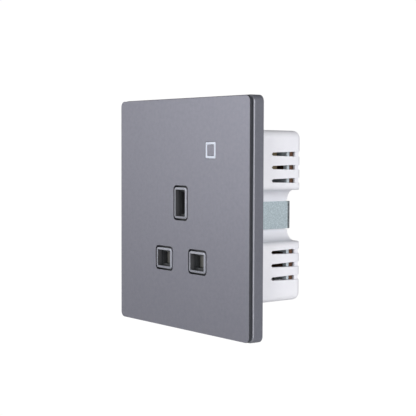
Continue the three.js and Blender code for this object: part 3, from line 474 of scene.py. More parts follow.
def plated_finish(name, dull, bright, rough):
    """Bright metal plate with faint drawing marks and handling haze."""
    material, tree, shader = new_finish(name, Metallic=1.0)
    haze = noise(tree, 900, 4)
    fed(
        tree,
        shader,
        Base_Color=ramped(tree, haze, (0.3, dull), (0.7, bright)),
        Roughness=ranged(tree, haze, rough - 0.08, rough + 0.1),
        Normal=relief(tree, noise(tree, 9000), 0.006),
    )
    return material


def node_group(name, **inputs):
    """A geometry node tree with these inputs, their sockets, and what they give inside it."""
    tree = bpy.data.node_groups.new(name, "GeometryNodeTree")
    sockets = {
        title: tree.interface.new_socket(
            name=title, in_out="INPUT", socket_type=f"NodeSocket{kind}"
        )
        for title, kind in inputs.items()
    }
    tree.interface.new_socket(name="Made", in_out="OUTPUT", socket_type="NodeSocketGeometry")
    return tree, sockets, tree.nodes.new("NodeGroupInput").outputs


def ended(tree, geometry, finish):
    """Ends a tree with real geometry in this finish."""
    real = new_node(tree, "GeometryNodeRealizeInstances", Geometry=geometry)
    coat = new_node(
        tree, "GeometryNodeSetMaterial", Geometry=real.outputs["Geometry"], Material=finish
    )
    new_node(tree, "NodeGroupOutput", Made=coat.outputs["Geometry"])


def by_chance(tree, low, high, seed):
    """A number between low and high for each copy."""
    chance = new_node(tree, "FunctionNodeRandomValue", Seed=seed)
    chance.data_type = "FLOAT"
    chance.inputs[2].default_value = low
    chance.inputs[3].default_value = high
    return chance.outputs[1]


def screw_pattern():
    """Geometry nodes: the object's own screw, once at each corner of a rectangle."""
    tree, sockets, given = node_group(
        "screw_pattern", Screw="Geometry", Across="Float", Up="Float", Seed="Int", Finish="Material"
    )
    grid = new_node(
        tree, "GeometryNodeMeshGrid", Size_X=given["Across"], Size_Y=given["Up"],
        Vertices_X=2, Vertices_Y=2,
    )
    upright = new_node(
        tree, "GeometryNodeTransform", Geometry=grid.outputs["Mesh"], Rotation=(math.pi / 2, 0, 0)
    )
    turn = by_chance(tree, 0, 2 * math.pi, given["Seed"])
    about = new_node(tree, "ShaderNodeCombineXYZ", Y=turn)
    copies = new_node(
        tree, "GeometryNodeInstanceOnPoints", Points=upright.outputs["Geometry"],
        Instance=given["Screw"], Rotation=about.outputs["Vector"],
    )
    ended(tree, copies.outputs["Instances"], given["Finish"])
    return tree, sockets


def with_nodes(piece, tree, sockets, **values):
    """Runs a geometry node tree on the piece and keeps the plain mesh it gives."""
    modifier = piece.modifiers.new("nodes", "NODES")
    modifier.node_group = tree
    for name, value in values.items():
        modifier[sockets[name].identifier] = value
    return plain_mesh(piece)


def placed(piece, x, y, z):
    """Shifts the mesh, so that the object itself stays at the origin."""
    piece.data.transform(Matrix.Translation((x * MM, y * MM, z * MM)))
    return piece


zinc_plate = plated_finish("zinc_plate", (0.42, 0.43, 0.45), (0.66, 0.67, 0.69), 0.3)
case_screws = pan_screw("case_screws", CASE_SCREW_HEAD, CASE_SCREW_SHANK, CASE_SCREW_RECESS)
with_nodes(
    case_screws,
    *screw_pattern(),
    Across=CASE_SCREW_SPACING[0] * MM,
    Up=CASE_SCREW_SPACING[1] * MM,
    Seed=CASE_SCREW_SEED,
    Finish=zinc_plate,
)
smooth_shaded(placed(case_screws, 0, CASE_SCREW_SEAT, 0))
stands_for(case_screws, "screw_steel", *[f"case_screw_{number}" for number in range(1, 5)])

strap_screw = pan_screw("strap_pan_screw", STRAP_SCREW_HEAD, STRAP_SCREW_SHANK, STRAP_SCREW_RECESS)
dress(smooth_shaded(placed(strap_screw, 0, STRAP_SCREW_SEAT, 0)), zinc_plate)
stands_for(strap_screw, "screw_steel", "strap_screw")

# ---------------------------------------------------------------- power board and its frame
# A brown paper-phenolic board that fills the back of the housing, soldered on its rear face. A
# pale moulded frame lies on its front edge and holds it down on the ledges of the housing. Its
# white is coloured a darker blue-grey: painted shade, for the shade deep inside the housing.

SOLDER_BASE = 0.85
SOLDER_TIP = 0.3
SOLDER_HEIGHT = 0.55
SOLDER_SEED = 7
BOARD_BACK = 24.9
SOLDER_PLACES = (
    (-21, 16), (-21, 23.5), (-10, 16), (-10, 23.5), (-15.4, 19.7), (-4.4, 17.2), (-1.5, 17.2),
    (1.5, 17.2), (4.4, 17.2), (-4.4, 24.4), (4.4, 24.4), (15.2, 19.8), (18.4, 19.8),
    (9.6, 16.6), (9.6, 18.6), (9.6, 20.6), (9.6, 22.6), (9.6, 24.6), (-11, -1.6), (-11, 2.6),
    (-17, -6.4), (-13.4, -6.4), (13.5, -5.5), (13.5, 5.5), (-18, -21.3), (0, -21.3),
    (18, -21.3), (-11.1, -17.8), (11.1, -17.8), (0, 5.6),
)


def dots(name, places, y, finish, foot, tip, height, seed):
    """Geometry nodes: small cone frustums that stand on the plane at y, towards +Y, at these
    places across and up, each a little different in size."""
    tree, sockets, given = node_group(
        name, Places="Geometry", Foot="Float", Tip="Float", Height="Float", Seed="Int",
        Finish="Material",
    )
    cone = new_node(
        tree, "GeometryNodeMeshCone", Vertices=16, Radius_Bottom=given["Foot"],
        Radius_Top=given["Tip"], Depth=given["Height"],
    )
    copies = new_node(
        tree, "GeometryNodeInstanceOnPoints", Points=given["Places"],
        Instance=cone.outputs["Mesh"], Rotation=(-math.pi / 2, 0, 0),
        Scale=by_chance(tree, 0.82, 1.0, given["Seed"]),
    )
    ended(tree, copies.outputs["Instances"], given["Finish"])
    bm = bmesh.new()
    for x, z in places:
        bm.verts.new((x * MM, y * MM, z * MM))
    return with_nodes(
        piece_from(name, bm), tree, sockets, Foot=foot * MM, Tip=tip * MM, Height=height * MM,
        Seed=seed, Finish=finish,
    )


phenolic = moulded_finish(
    "paper_phenolic", (0.105, 0.048, 0.026), (0.150, 0.072, 0.038), 2600, 0.01, 0.6, mottle=350
)
solder = plated_finish("solder", (0.45, 0.46, 0.47), (0.70, 0.71, 0.72), 0.34)
# White plastic given its shaded blue-grey as its colour: painted shade.
retainer_painted_shade = moulded_finish(
    "retainer_white_painted_shade", (0.56, 0.63, 0.68), (0.62, 0.69, 0.73), 3800, 0.01, 0.48, mottle=120
)
finished("phenolic_board", "power_board", phenolic, "phenolic_board", 0.08)
joints = dots(
    "solder_joints", SOLDER_PLACES, BOARD_BACK, solder, SOLDER_BASE, SOLDER_TIP, SOLDER_HEIGHT,
    SOLDER_SEED,
)
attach(joints, "root")
finished("retaining_frame", "board_retainer", retainer_painted_shade, "retainer_plastic", 0.12)

# ---------------------------------------------------------------- relay and transformer
# The relay that switches the live side is a black box sealed with resin. The small transformer
# beside it has a ferrite frame round a bobbin wound with wire and wrapped in yellow tape.

relay_black = moulded_finish(
    "relay_moulding", (0.012, 0.012, 0.014), (0.020, 0.020, 0.024), 4200, 0.008, 0.38, mottle=300
)
ferrite = moulded_finish(
    "sintered_ferrite", (0.030, 0.030, 0.032), (0.052, 0.052, 0.055), 5200, 0.015, 0.5, mottle=700
)
tape, tape_tree, tape_shader = new_finish("winding_tape", Roughness=0.34)
along_tape = new_node(tape_tree, "ShaderNodeTexCoord")
layers = new_node(
    tape_tree, "ShaderNodeTexWave", Vector=along_tape.outputs["Object"], Scale=95, Distortion=0.6
)
layers.bands_direction = "Y"
layer = layers.outputs["Fac"]
fed(
    tape_tree,
    tape_shader,
    Base_Color=ramped(tape_tree, layer, (0.2, (0.60, 0.38, 0.03)), (0.8, (0.78, 0.54, 0.08))),
    Normal=relief(tape_tree, layer, 0.03),
)
finished("relay_case", "relay", relay_black, "relay_case", 0.3)
finished("ferrite_frame", "transformer_core", ferrite, "ferrite", 0.2)
finished("wound_bobbin", "transformer_coil", tape, "winding_tape", 0.45)

# ---------------------------------------------------------------- capacitors
# The bulk capacitor is an aluminium can in a black shrink sleeve, crimped near its foot, with a
# scored vent on top. The film capacitor is a beige box filled with resin.

CAN_PLACE = (16.8, 19.8)
CAN_RADIUS = 4.2
CAN_FRONT = 8.5
CAN_BACK = 23.2
CAN_NECK = 3.85
CAN_NECK_AT = 20.95
CAN_LIP = 0.75
VENT_LONG = 2.8
VENT_WIDE = 0.1
VENT_DEEP = 0.18


def around(middle, half):
    """The limits this far each side of a middle."""
    return middle - half, middle + half


def box_bmesh(x, y, z):
    """A box between pairs of limits."""
    bm = bmesh.new()
    for vert in bmesh.ops.create_cube(bm, size=1)["verts"]:
        vert.co = [limits[side > 0] * MM for limits, side in zip((x, y, z), vert.co)]
    return bm


sleeve = moulded_finish(
    "shrink_sleeve", (0.012, 0.013, 0.022), (0.020, 0.022, 0.034), 3000, 0.006, 0.3, mottle=260
)
can_top = plated_finish("can_aluminium", (0.52, 0.53, 0.55), (0.74, 0.75, 0.77), 0.3)
can_profile = [
    (0, CAN_FRONT + 0.1),
    (CAN_RADIUS - CAN_LIP, CAN_FRONT + 0.1),
    (CAN_RADIUS - CAN_LIP + 0.1, CAN_FRONT),
    (CAN_RADIUS - 0.3, CAN_FRONT),
    (CAN_RADIUS - 0.08, CAN_FRONT + 0.1),
    (CAN_RADIUS, CAN_FRONT + 0.35),
    (CAN_RADIUS, CAN_NECK_AT - 0.7),
    (CAN_NECK + 0.1, CAN_NECK_AT - 0.25),
    (CAN_NECK, CAN_NECK_AT),
    (CAN_NECK + 0.1, CAN_NECK_AT + 0.25),
    (CAN_RADIUS, CAN_NECK_AT + 0.7),
    (CAN_RADIUS, CAN_BACK - 0.35),
    (CAN_RADIUS - 0.3, CAN_BACK),
    (0, CAN_BACK),
]
can = piece_from("bulk_can", turned(can_profile, 48))
placed(can, CAN_PLACE[0], 0, CAN_PLACE[1])
for half_wide, half_high in ((VENT_LONG, VENT_WIDE), (VENT_WIDE, VENT_LONG)):
    score = box_bmesh(
        around(CAN_PLACE[0], half_wide),
        (CAN_FRONT - 1, CAN_FRONT + VENT_DEEP),
        around(CAN_PLACE[1], half_high),
    )
    cut_from(can, "vent_score", score)
dress(smooth_shaded(can), sleeve, can_top)
for face in can.data.polygons:
    across, up = face.center.x / MM - CAN_PLACE[0], face.center.z / MM - CAN_PLACE[1]
    on_top = face.center.y < (CAN_FRONT + 0.3) * MM
    face.material_index = int(on_top and math.hypot(across, up) < CAN_RADIUS - CAN_LIP)
stands_for(can, "capacitor_sleeve", "bulk_capacitor")
film_beige = moulded_finish(
    "film_box", (0.24, 0.19, 0.11), (0.30, 0.24, 0.15), 3000, 0.008, 0.36, mottle=300
)
finished("film_capacitor_box", "film_capacitor", film_beige, "film_capacitor_case", 0.35)

# ---------------------------------------------------------------- surge disc, choke and fuse
# Protection at the supply side: a disc dipped in blue epoxy, a ferrite drum wound with enamelled
# copper and a ceramic fuse with plated end caps.

DISC_PLACE = (-11.0, 17.2, 0.5)
DISC_RADIUS = 4.4
DISC_HALF = 1.7
DISC_LEGS = 2.3
DRUM_PLACE = (-15.2, 18.2, -6.4)
DRUM_HALF = 5.0
DRUM_RADIUS = 3.4
DRUM_WAIST = 2.7
DRUM_FLANGE = 1.4
DRUM_WIRE = 0.34
DRUM_WIRE_PITCH = 1.02 * DRUM_WIRE
FUSE_PLACE = (13.5, 19.6, 0.0)
FUSE_RADIUS = 2.0
FUSE_HALF = 6.5
FUSE_CAP = 3.0
FUSE_LEGS = 5.5
LEG_RADIUS = 0.4
LEG_BACK = BOARD_BACK - 1.7


def laid(shape, axis, angle, place):
    """A mesh turned about the origin and then shifted."""
    shape.transform(
        Matrix.Translation([number * MM for number in place])
        @ Matrix.Rotation(math.radians(angle), 4, axis)
    )
    return shape


def leg(x, z, front):
    """A round lead from a component down to the board."""
    bm = turned([(0, front), (LEG_RADIUS, front), (LEG_RADIUS, LEG_BACK), (0, LEG_BACK)], 12)
    return laid(bm, "Y", 0, (x, 0, z))


def mirrored(half, *middle):
    """A profile for turning whose second half mirrors its first about y = 0."""
    return [*half, *middle, *[(radius, -y) for radius, y in reversed(half)]]


def joined(name, *shapes):
    """Several closed bmeshes as one object."""
    whole = bmesh.new()
    for shape in shapes:
        part = bpy.data.meshes.new(name)
        shape.to_mesh(part)
        shape.free()
        whole.from_mesh(part)
        bpy.data.meshes.remove(part)
    return piece_from(name, whole)


def coiled(name, radius, pitch, turns, thickness, finish):
    """Geometry nodes: round wire wound along Z from the origin."""
    tree, sockets, given = node_group(
        name, Radius="Float", Length="Float", Turns="Float", Wire="Float", Finish="Material"
    )
    spiral = new_node(
        tree, "GeometryNodeCurveSpiral", Resolution=28, Rotations=given["Turns"],
        Start_Radius=given["Radius"], End_Radius=given["Radius"], Height=given["Length"],
    )
    section = new_node(
        tree, "GeometryNodeCurvePrimitiveCircle", Resolution=10, Radius=given["Wire"]
    )
    solid = new_node(
        tree, "GeometryNodeCurveToMesh", Curve=spiral.outputs["Curve"],
        Profile_Curve=section.outputs["Curve"], Fill_Caps=True,
    )
    smooth = new_node(tree, "GeometryNodeSetShadeSmooth", Geometry=solid.outputs["Mesh"])
    ended(tree, smooth.outputs["Geometry"], given["Finish"])
    return with_nodes(
        piece_from(name, bmesh.new()), tree, sockets, Radius=radius * MM,
        Length=pitch * turns * MM, Turns=float(turns), Wire=thickness / 2 * MM, Finish=finish,
    )


epoxy_blue = moulded_finish(
    "dipped_epoxy", (0.028, 0.085, 0.27), (0.042, 0.115, 0.34), 1400, 0.02, 0.24, mottle=260
)
disc_half = [
    (0, -DISC_HALF),
    (DISC_RADIUS - 1.3, -DISC_HALF),
    (DISC_RADIUS - 0.4, -DISC_HALF + 0.45),
]
surge_disc = joined(
    "surge_disc",
    laid(turned(mirrored(disc_half, (DISC_RADIUS, 0)), 40), "Z", 90, DISC_PLACE),
    leg(DISC_PLACE[0], DISC_PLACE[2] - DISC_LEGS, DISC_PLACE[1] + 2),
    leg(DISC_PLACE[0], DISC_PLACE[2] + DISC_LEGS, DISC_PLACE[1] + 2),
)
dress(smooth_shaded(surge_disc, 60), epoxy_blue)
stands_for(surge_disc, "varistor_coating", "varistor")

half_waist = DRUM_HALF - DRUM_FLANGE
drum_half = [
    (0, -DRUM_HALF),
    (DRUM_RADIUS - 0.2, -DRUM_HALF),
    (DRUM_RADIUS, -DRUM_HALF + 0.2),
    (DRUM_RADIUS, -half_waist),
    (DRUM_WAIST, -half_waist),
]
drum = piece_from("choke_drum", turned(mirrored(drum_half), 40))
dress(smooth_shaded(placed(drum, *DRUM_PLACE), 40), ferrite)
stands_for(drum, "ferrite", "choke")
enamel = plated_finish("enamelled_copper", (0.32, 0.10, 0.03), (0.58, 0.22, 0.08), 0.3)
turns_wound = int((2 * half_waist - DRUM_WIRE) / DRUM_WIRE)
choke_wire = coiled(
    "choke_winding", DRUM_WAIST + DRUM_WIRE / 2, DRUM_WIRE_PITCH, turns_wound, DRUM_WIRE, enamel
)
winding_end = DRUM_PLACE[1] + half_waist - DRUM_WIRE / 2
laid(choke_wire.data, "X", 90, (DRUM_PLACE[0], winding_end, DRUM_PLACE[2]))
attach(choke_wire, "root")

inner_end = FUSE_HALF - FUSE_CAP
fuse_half = [
    (0, -FUSE_HALF),
    (FUSE_RADIUS - 0.25, -FUSE_HALF),
    (FUSE_RADIUS, -FUSE_HALF + 0.25),
    (FUSE_RADIUS, -inner_end),
    (FUSE_RADIUS - 0.15, -inner_end + 0.05),
]
fuse = joined(
    "fuse_cartridge",
    laid(turned(mirrored(fuse_half)), "X", 90, FUSE_PLACE),
    leg(FUSE_PLACE[0], -FUSE_LEGS, FUSE_PLACE[1] + 1),
    leg(FUSE_PLACE[0], FUSE_LEGS, FUSE_PLACE[1] + 1),
)
ceramic = moulded_finish(
    "fuse_ceramic", (0.60, 0.59, 0.55), (0.70, 0.69, 0.65), 3000, 0.01, 0.4, mottle=300
)
tin = plated_finish("tin_plate", (0.50, 0.51, 0.53), (0.70, 0.71, 0.73), 0.34)
dress(smooth_shaded(fuse, 40), ceramic, tin)
for face in fuse.data.polygons:
    face.material_index = int(abs(face.center.z) > (inner_end - 0.02) * MM)
stands_for(fuse, "fuse_case", "fuse")

# ---------------------------------------------------------------- header and control board
# A row of gilt pins carries power and signals up to the control board, a green glass-fibre
# board behind the insert with the radio module, its tin can and the touch key's spring on it.

HEADER_PLACE = (9.6, 20.6)
HEADER_PINS = 5
HEADER_PITCH = 2.0
HEADER_GROOVE = 0.04
HEADER_FOOT = (15.2, 23.2)
HEADER_PIN_FRONT = 2.5
HEADER_PIN_SIZE = 0.3
CHIP_PLACES = (
    (-27, 17), (-27, 20), (-27, 23), (-5, 16), (-5, 19), (-5, 22), (-1, 16), (-1, 20), (3, 24),
    (3, 17), (13, 16), (13, 19), (15, 27), (23, 16), (23, 19), (26, 22),
)
CHIP_FOOT = 0.7
CHIP_TOP = 0.6
CHIP_HEIGHT = 0.5
CHIP_SEED = 11
CONTROL_FRONT = 1.2
CONTROL_BACK = 2.4
KEY_PLACE = (19.3, 24.9)
TOUCH_RADIUS = 2.0
TOUCH_WIRE = 0.5
TOUCH_TURNS = 4
TOUCH_FRONT = -4.1
TOUCH_CLEAR = 0.1

gilt = plated_finish("gilt_pin", (0.62, 0.42, 0.12), (0.86, 0.62, 0.24), 0.26)
pin_rows = [HEADER_PLACE[1] + (number - 2) * HEADER_PITCH for number in range(HEADER_PINS)]
header_bodies = [
    box_bmesh(
        around(HEADER_PLACE[0], HEADER_PITCH / 2),
        HEADER_FOOT,
        around(row, HEADER_PITCH / 2 - HEADER_GROOVE),
    )
    for row in pin_rows
]
header_pins = [
    box_bmesh(
        around(HEADER_PLACE[0], HEADER_PIN_SIZE),
        (HEADER_PIN_FRONT, HEADER_FOOT[0] + 0.5),
        around(row, HEADER_PIN_SIZE),
    )
    for row in pin_rows
]
header = round_edges(joined("pin_header", *header_bodies, *header_pins), 0.08)
dress(header, relay_black, gilt)
for face in header.data.polygons:
    face.material_index = int(face.center.y < (HEADER_FOOT[0] - 0.05) * MM)
stands_for(header, "relay_case", "board_header")

solder_mask = moulded_finish(
    "green_mask", (0.008, 0.075, 0.034), (0.014, 0.110, 0.052), 1500, 0.006, 0.32, mottle=420
)
finished("control_circuit_board", "control_board", solder_mask, "glass_board", 0.06)
chips = dots(
    "board_chips", CHIP_PLACES, CONTROL_BACK, relay_black, CHIP_FOOT, CHIP_TOP, CHIP_HEIGHT,
    CHIP_SEED,
)
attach(chips, "root")
finished("radio_board", "radio_module", solder_mask, "glass_board", 0.05)
finished("radio_can", "radio_shield", tin, "tinned_steel", 0.2)
lens = moulded_finish(
    "light_lens", (0.62, 0.66, 0.70), (0.72, 0.76, 0.80), 900, 0.003, 0.2, mottle=900
)
finished("key_light", "indicator_light", lens, "light_guide", 0.12)
spring_wire = plated_finish("spring_wire", (0.42, 0.43, 0.45), (0.62, 0.63, 0.65), 0.28)
touch_length = CONTROL_FRONT - TOUCH_FRONT - TOUCH_WIRE - 2 * TOUCH_CLEAR
touch_coil = coiled(
    "touch_key_spring", TOUCH_RADIUS, touch_length / TOUCH_TURNS, TOUCH_TURNS, TOUCH_WIRE,
    spring_wire,
)
touch_start = TOUCH_FRONT + TOUCH_WIRE / 2 + TOUCH_CLEAR
laid(touch_coil.data, "X", -90, (KEY_PLACE[0], touch_start, KEY_PLACE[1]))
stands_for(touch_coil, "spring_steel", "touch_spring")

# ---------------------------------------------------------------- pin contacts
# Sprung forks blanked from strip, brass for earth and phosphor bronze for the other two. They
# stand in a dark heat-proof carrier, and their tails are soldered to the power board.

STRIP_EDGE = 0.1

carrier_black = moulded_finish(
    "carrier_moulding", (0.030, 0.030, 0.033), (0.048, 0.048, 0.052), 3600, 0.012, 0.52, mottle=160
)
bronze = plated_finish("phosphor_bronze", (0.42, 0.21, 0.09), (0.66, 0.38, 0.18), 0.32)
brass = plated_finish("brass_strip", (0.56, 0.40, 0.14), (0.80, 0.62, 0.28), 0.3)
finished("contact_block", "contact_carrier", carrier_black, "carrier_plastic", 0.18)
finished("earth_fork", "earth_contact", brass, "contact_brass", STRIP_EDGE)
for side in ("neutral", "live"):
    finished(f"{side}_fork", f"{side}_contact", bronze, "contact_bronze", STRIP_EDGE)

# ---------------------------------------------------------------- supply terminals
# Three rising-cage terminals along the bottom. A slotted screw turns in place and draws a bent
# steel cage back, so that a wire put in from below is nipped against the brass bar.

TERMINAL_X = {"neutral": -18.0, "earth": 0.0, "live": 18.0}
TERMINAL_Z = -27.54
TERMINAL_HEAD = (2.8, 19.4, 21.2)
TERMINAL_SHAFT = (1.75, 14.0)
TERMINAL_SLOT = (0.9, 1.0)
THREAD_PITCH = 0.6
THREAD_DEPTH = 0.22

cage_steel = plated_finish("cage_steel", (0.40, 0.41, 0.42), (0.60, 0.61, 0.62), 0.4)


def terminal_screw(name, x):
    """A slotted screw with rings of thread, its head to the back."""
    radius, head_front, head_back = TERMINAL_HEAD
    thin, end = TERMINAL_SHAFT
    core = thin - THREAD_DEPTH
    profile = [(0, end), (thin - 0.45, end), (core, end + 0.3)]
    for number in range(int((head_front - end - 1.2) / THREAD_PITCH)):
        foot = end + 0.35 + number * THREAD_PITCH
        profile += [(thin, foot + THREAD_PITCH * 0.45), (core, foot + THREAD_PITCH * 0.9)]
    profile += [
        (core, head_front),
        (radius - 0.15, head_front),
        (radius, head_front + 0.15),
        (radius, head_back - 0.3),
        (radius - 0.3, head_back),
        (0, head_back),
    ]
    screw = piece_from(name, turned(profile))
    width, depth = TERMINAL_SLOT
    slot = box_bmesh(
        around(0, radius + 1), (head_back - depth, head_back + 1), around(0, width / 2)
    )
    cut_from(screw, "driver_slot", slot)
    return placed(screw, x, 0, TERMINAL_Z)


for side, x in TERMINAL_X.items():
    finished(f"{side}_bar", f"{side}_terminal_bar", brass, "contact_brass", 0.12)
    finished(
        f"{side}_cage", f"{side}_terminal_clamp", cage_steel, "tinned_steel", 0.2, f"{side}_clamp"
    )
    screw = terminal_screw(f"{side}_clamp_screw", x)
    dress(smooth_shaded(screw, 40), zinc_plate)
    stands_for(screw, "screw_steel", f"{side}_terminal_screw", body=f"{side}_screw")

# ---------------------------------------------------------------- socket insert and shutter
# The charcoal moulding behind the panel that guides the pins. A pale nylon shutter slides
# down behind it when the earth pin meets its ramp, and a coil spring lifts it again.

SPRING_RADIUS = 1.1
SPRING_WIRE = 0.4
SPRING_TURNS = 7
SPRING_FOOT = -12.1
SPRING_LENGTH = 11.0
SPRING_DEPTH = -1.4

insert_charcoal = moulded_finish(
    "insert_charcoal", (0.036, 0.039, 0.043), (0.048, 0.052, 0.057), 3800, 0.01, 0.46, mottle=160
)
shutter_nylon = moulded_finish(
    "shutter_nylon", (0.27, 0.27, 0.25), (0.33, 0.33, 0.31), 3400, 0.01, 0.45, mottle=200
)
finished("pin_guide_insert", "socket_insert", insert_charcoal, "insert_plastic", 0.15)
finished("safety_shutter", "shutter", shutter_nylon, "shutter_plastic", 0.12, "shutter")

shutter_coil = coiled(
    "shutter_return_spring", SPRING_RADIUS, (SPRING_LENGTH - SPRING_WIRE) / SPRING_TURNS,
    SPRING_TURNS, SPRING_WIRE, spring_wire,
)
placed(shutter_coil, 0, SPRING_DEPTH, SPRING_FOOT + SPRING_WIRE / 2)
stands_for(shutter_coil, "spring_steel", "shutter_spring")
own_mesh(shutter_coil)

# ---------------------------------------------------------------- aperture collars
# Three separate satin silver mouldings that line the pin apertures. Each stands a little proud
# of the panel, and its lip falls away a little towards the outside. The throat is charcoal.

COLLAR_FRONT = -6.5
COLLAR_BACK = -4.4
COLLAR_MARGIN = 2.04
COLLAR_THROAT = 1.16
COLLAR_FALL = 0.14
COLLAR_CORNER = 1.1
COLLAR_ROUND = 0.1
# How the lip turns into the throat: out from the throat, corner radius, back from the front.
COLLAR_LIP = ((0.16, 0.35, 0.01), (0.06, 0.28, 0), (0, 0.22, 0.06))
THROAT_WALL = COLLAR_THROAT + 0.05
PINS = {
    "earth": (0.0, 4.4, 4.0, 8.0),
    "neutral": (-11.1, -17.8, 6.35, 4.0),
    "live": (11.1, -17.8, 6.35, 4.0),
}


def ring_loft(rings):
    """A closed ring swept through rounded outlines, each (outline, y); it ends where it starts."""
    bm = bmesh.new()
    loops = [[bm.verts.new((x * MM, y * MM, z * MM)) for x, z in line] for line, y in rings]
    for number, loop in enumerate(loops):
        other = loops[(number + 1) % len(loops)]
        for side in range(len(loop)):
            after = (side + 1) % len(loop)
            bm.faces.new((loop[side], loop[after], other[after], other[side]))
    return bm


def collar(name, x, z, width, height):
    """The outer wall, the lip and the throat as (margin, corner, y), lofted into one ring."""
    edge = COLLAR_FRONT + COLLAR_FALL
    half_round = COLLAR_ROUND * (1 - math.sqrt(0.5))
    profile = [
        (COLLAR_MARGIN, COLLAR_CORNER, COLLAR_BACK),
        (COLLAR_MARGIN, COLLAR_CORNER, edge + COLLAR_ROUND),
        (COLLAR_MARGIN - half_round, COLLAR_CORNER, edge + half_round),
        (COLLAR_MARGIN - COLLAR_ROUND, COLLAR_CORNER, edge),
    ]
    profile += [
        (COLLAR_THROAT + out, corner, COLLAR_FRONT + back) for out, corner, back in COLLAR_LIP
    ]
    profile.append((COLLAR_THROAT, COLLAR_LIP[-1][1], COLLAR_BACK))
    rings = [
        (rounded_outline(x, z, width + 2 * margin, height + 2 * margin, corner), y)
        for margin, corner, y in profile
    ]
    return piece_from(name, ring_loft(rings))


collar_silver = moulded_finish(
    "collar_silver", (0.30, 0.31, 0.36), (0.35, 0.36, 0.41), 4200, 0.003, 0.36, mottle=500,
    Metallic=0.22,
)
throat_charcoal = moulded_finish(
    "throat_charcoal", (0.062, 0.064, 0.070), (0.080, 0.082, 0.088), 3800, 0.006, 0.45, mottle=300
)
for pin_name, (x, z, width, height) in PINS.items():
    rim = collar(f"{pin_name}_aperture_collar", x, z, width, height)
    dress(smooth_shaded(rim, 15), collar_silver, throat_charcoal)
    for face in rim.data.polygons:
        face.material_index = int(
            face.center.y > (COLLAR_FRONT + COLLAR_FALL) * MM
            and abs(face.center.x - x * MM) < (width / 2 + THROAT_WALL) * MM
            and abs(face.center.z - z * MM) < (height / 2 + THROAT_WALL) * MM
        )
    stands_for(rim, "collar_plastic", f"{pin_name}_collar")

# ---------------------------------------------------------------- mounting frame
# The moulded frame that lies on the wall around the box and carries the panel. It is painted
# to match, with a fine bevel round its front and a notch below for prising the panel off. The
# bevel takes a lighter lacquer: a painted highlight along the front edge.

FRAME_SIZE = (86.0, 90.0)
FRAME_FRONT = -4.7
FRAME_CORNER = 2.5
FRAME_BEVEL = 0.58
FRAME_BEVEL_DRAW = 0.6
FRAME_RIM = 3.3
RIM_CORNER = 0.7
RIM_EDGE_CORNER = 0.75
RIM_EDGE_FRONT = 0.12
RIM_EDGE_BACK = 0.15
WEB_FRONT = -2.8
WEB_BACK = -1.4
WEB_OPENING = 65.96
WEB_CORNER = 3.3
BACK_EDGE = 0.2
PRY_NOTCH = (8.0, 1.0)
CORNER_STEPS = 10


def frame_line(inset, corner):
    return rounded_outline(
        0, 0, FRAME_SIZE[0] - 2 * inset, FRAME_SIZE[1] - 2 * inset, corner, CORNER_STEPS
    )


def arc_inset(radius, turn):
    """How far in and how far forward a rounded edge has come at this turn."""
    return radius * (1 - math.cos(turn)), radius * (1 - math.sin(turn))


def painted_finish(name, dark, light, rough, metallic):
    """Satin metallic lacquer: fine aluminium flake under a soft clear coat."""
    material, tree, shader = new_finish(name, Metallic=metallic)
    flakes = noise(tree, 6500)
    cloudy = blended(tree, flakes, noise(tree, 750, 4), 0.3)
    fed(
        tree,
        shader,
        Base_Color=ramped(tree, cloudy, (0.3, dark), (0.7, light)),
        Roughness=ranged(tree, flakes, rough - 0.05, rough + 0.05),
        Normal=relief(tree, noise(tree, 1800), 0.003),
    )
    return material


turns = [math.pi / 2 * step / 4 for step in range(5)]
rings = []
for turn in turns:
    inward, left = arc_inset(BACK_EDGE, math.pi / 2 - turn)
    rings.append((frame_line(inward, FRAME_CORNER - inward), -left))
for turn in turns:
    inward, left = arc_inset(FRAME_BEVEL, turn)
    corner = FRAME_CORNER - inward * FRAME_BEVEL_DRAW
    rings.append((frame_line(inward, corner), FRAME_FRONT + left))
rim_line = frame_line(FRAME_RIM, RIM_CORNER)
web_line = rounded_outline(0, 0, WEB_OPENING, WEB_OPENING, WEB_CORNER, CORNER_STEPS)
rings += [
    (frame_line(FRAME_RIM - RIM_EDGE_FRONT, RIM_EDGE_CORNER), FRAME_FRONT),
    (rim_line, FRAME_FRONT + RIM_EDGE_FRONT),
    (rim_line, WEB_FRONT),
    (web_line, WEB_FRONT),
    (web_line, WEB_BACK),
    (rim_line, WEB_BACK),
    (rim_line, -RIM_EDGE_BACK),
    (frame_line(FRAME_RIM - RIM_EDGE_BACK, RIM_EDGE_CORNER), 0),
]
mounting_frame = piece_from("frame_moulding", ring_loft(rings))
notch_wide, notch_deep = PRY_NOTCH
pry_notch = box_bmesh(
    around(0, notch_wide / 2),
    (FRAME_FRONT - 1, FRAME_FRONT + notch_deep),
    (-FRAME_SIZE[1] / 2 - 1, -FRAME_SIZE[1] / 2 + notch_deep),
)
cut_from(mounting_frame, "pry_notch", pry_notch)
frame_grey = painted_finish(
    "frame_lacquer", (0.150, 0.154, 0.186), (0.196, 0.200, 0.234), 0.4, 0.35
)
# A lighter lacquer on the front bevel: a painted highlight, not a different paint.
bevel_painted_highlight = painted_finish(
    "frame_bevel_painted_highlight", (0.21, 0.215, 0.245), (0.26, 0.265, 0.295), 0.32, 0.45
)
dress(smooth_shaded(mounting_frame, 35), frame_grey, bevel_painted_highlight)
# Faces of the front bevel take the painted highlight.
for face in mounting_frame.data.polygons:
    in_front = face.center.y < (FRAME_FRONT + FRAME_BEVEL + 0.02) * MM
    face.material_index = int(in_front and -0.97 < face.normal.y < -0.1)
stands_for(mounting_frame, "frame_paint", "mounting_frame")
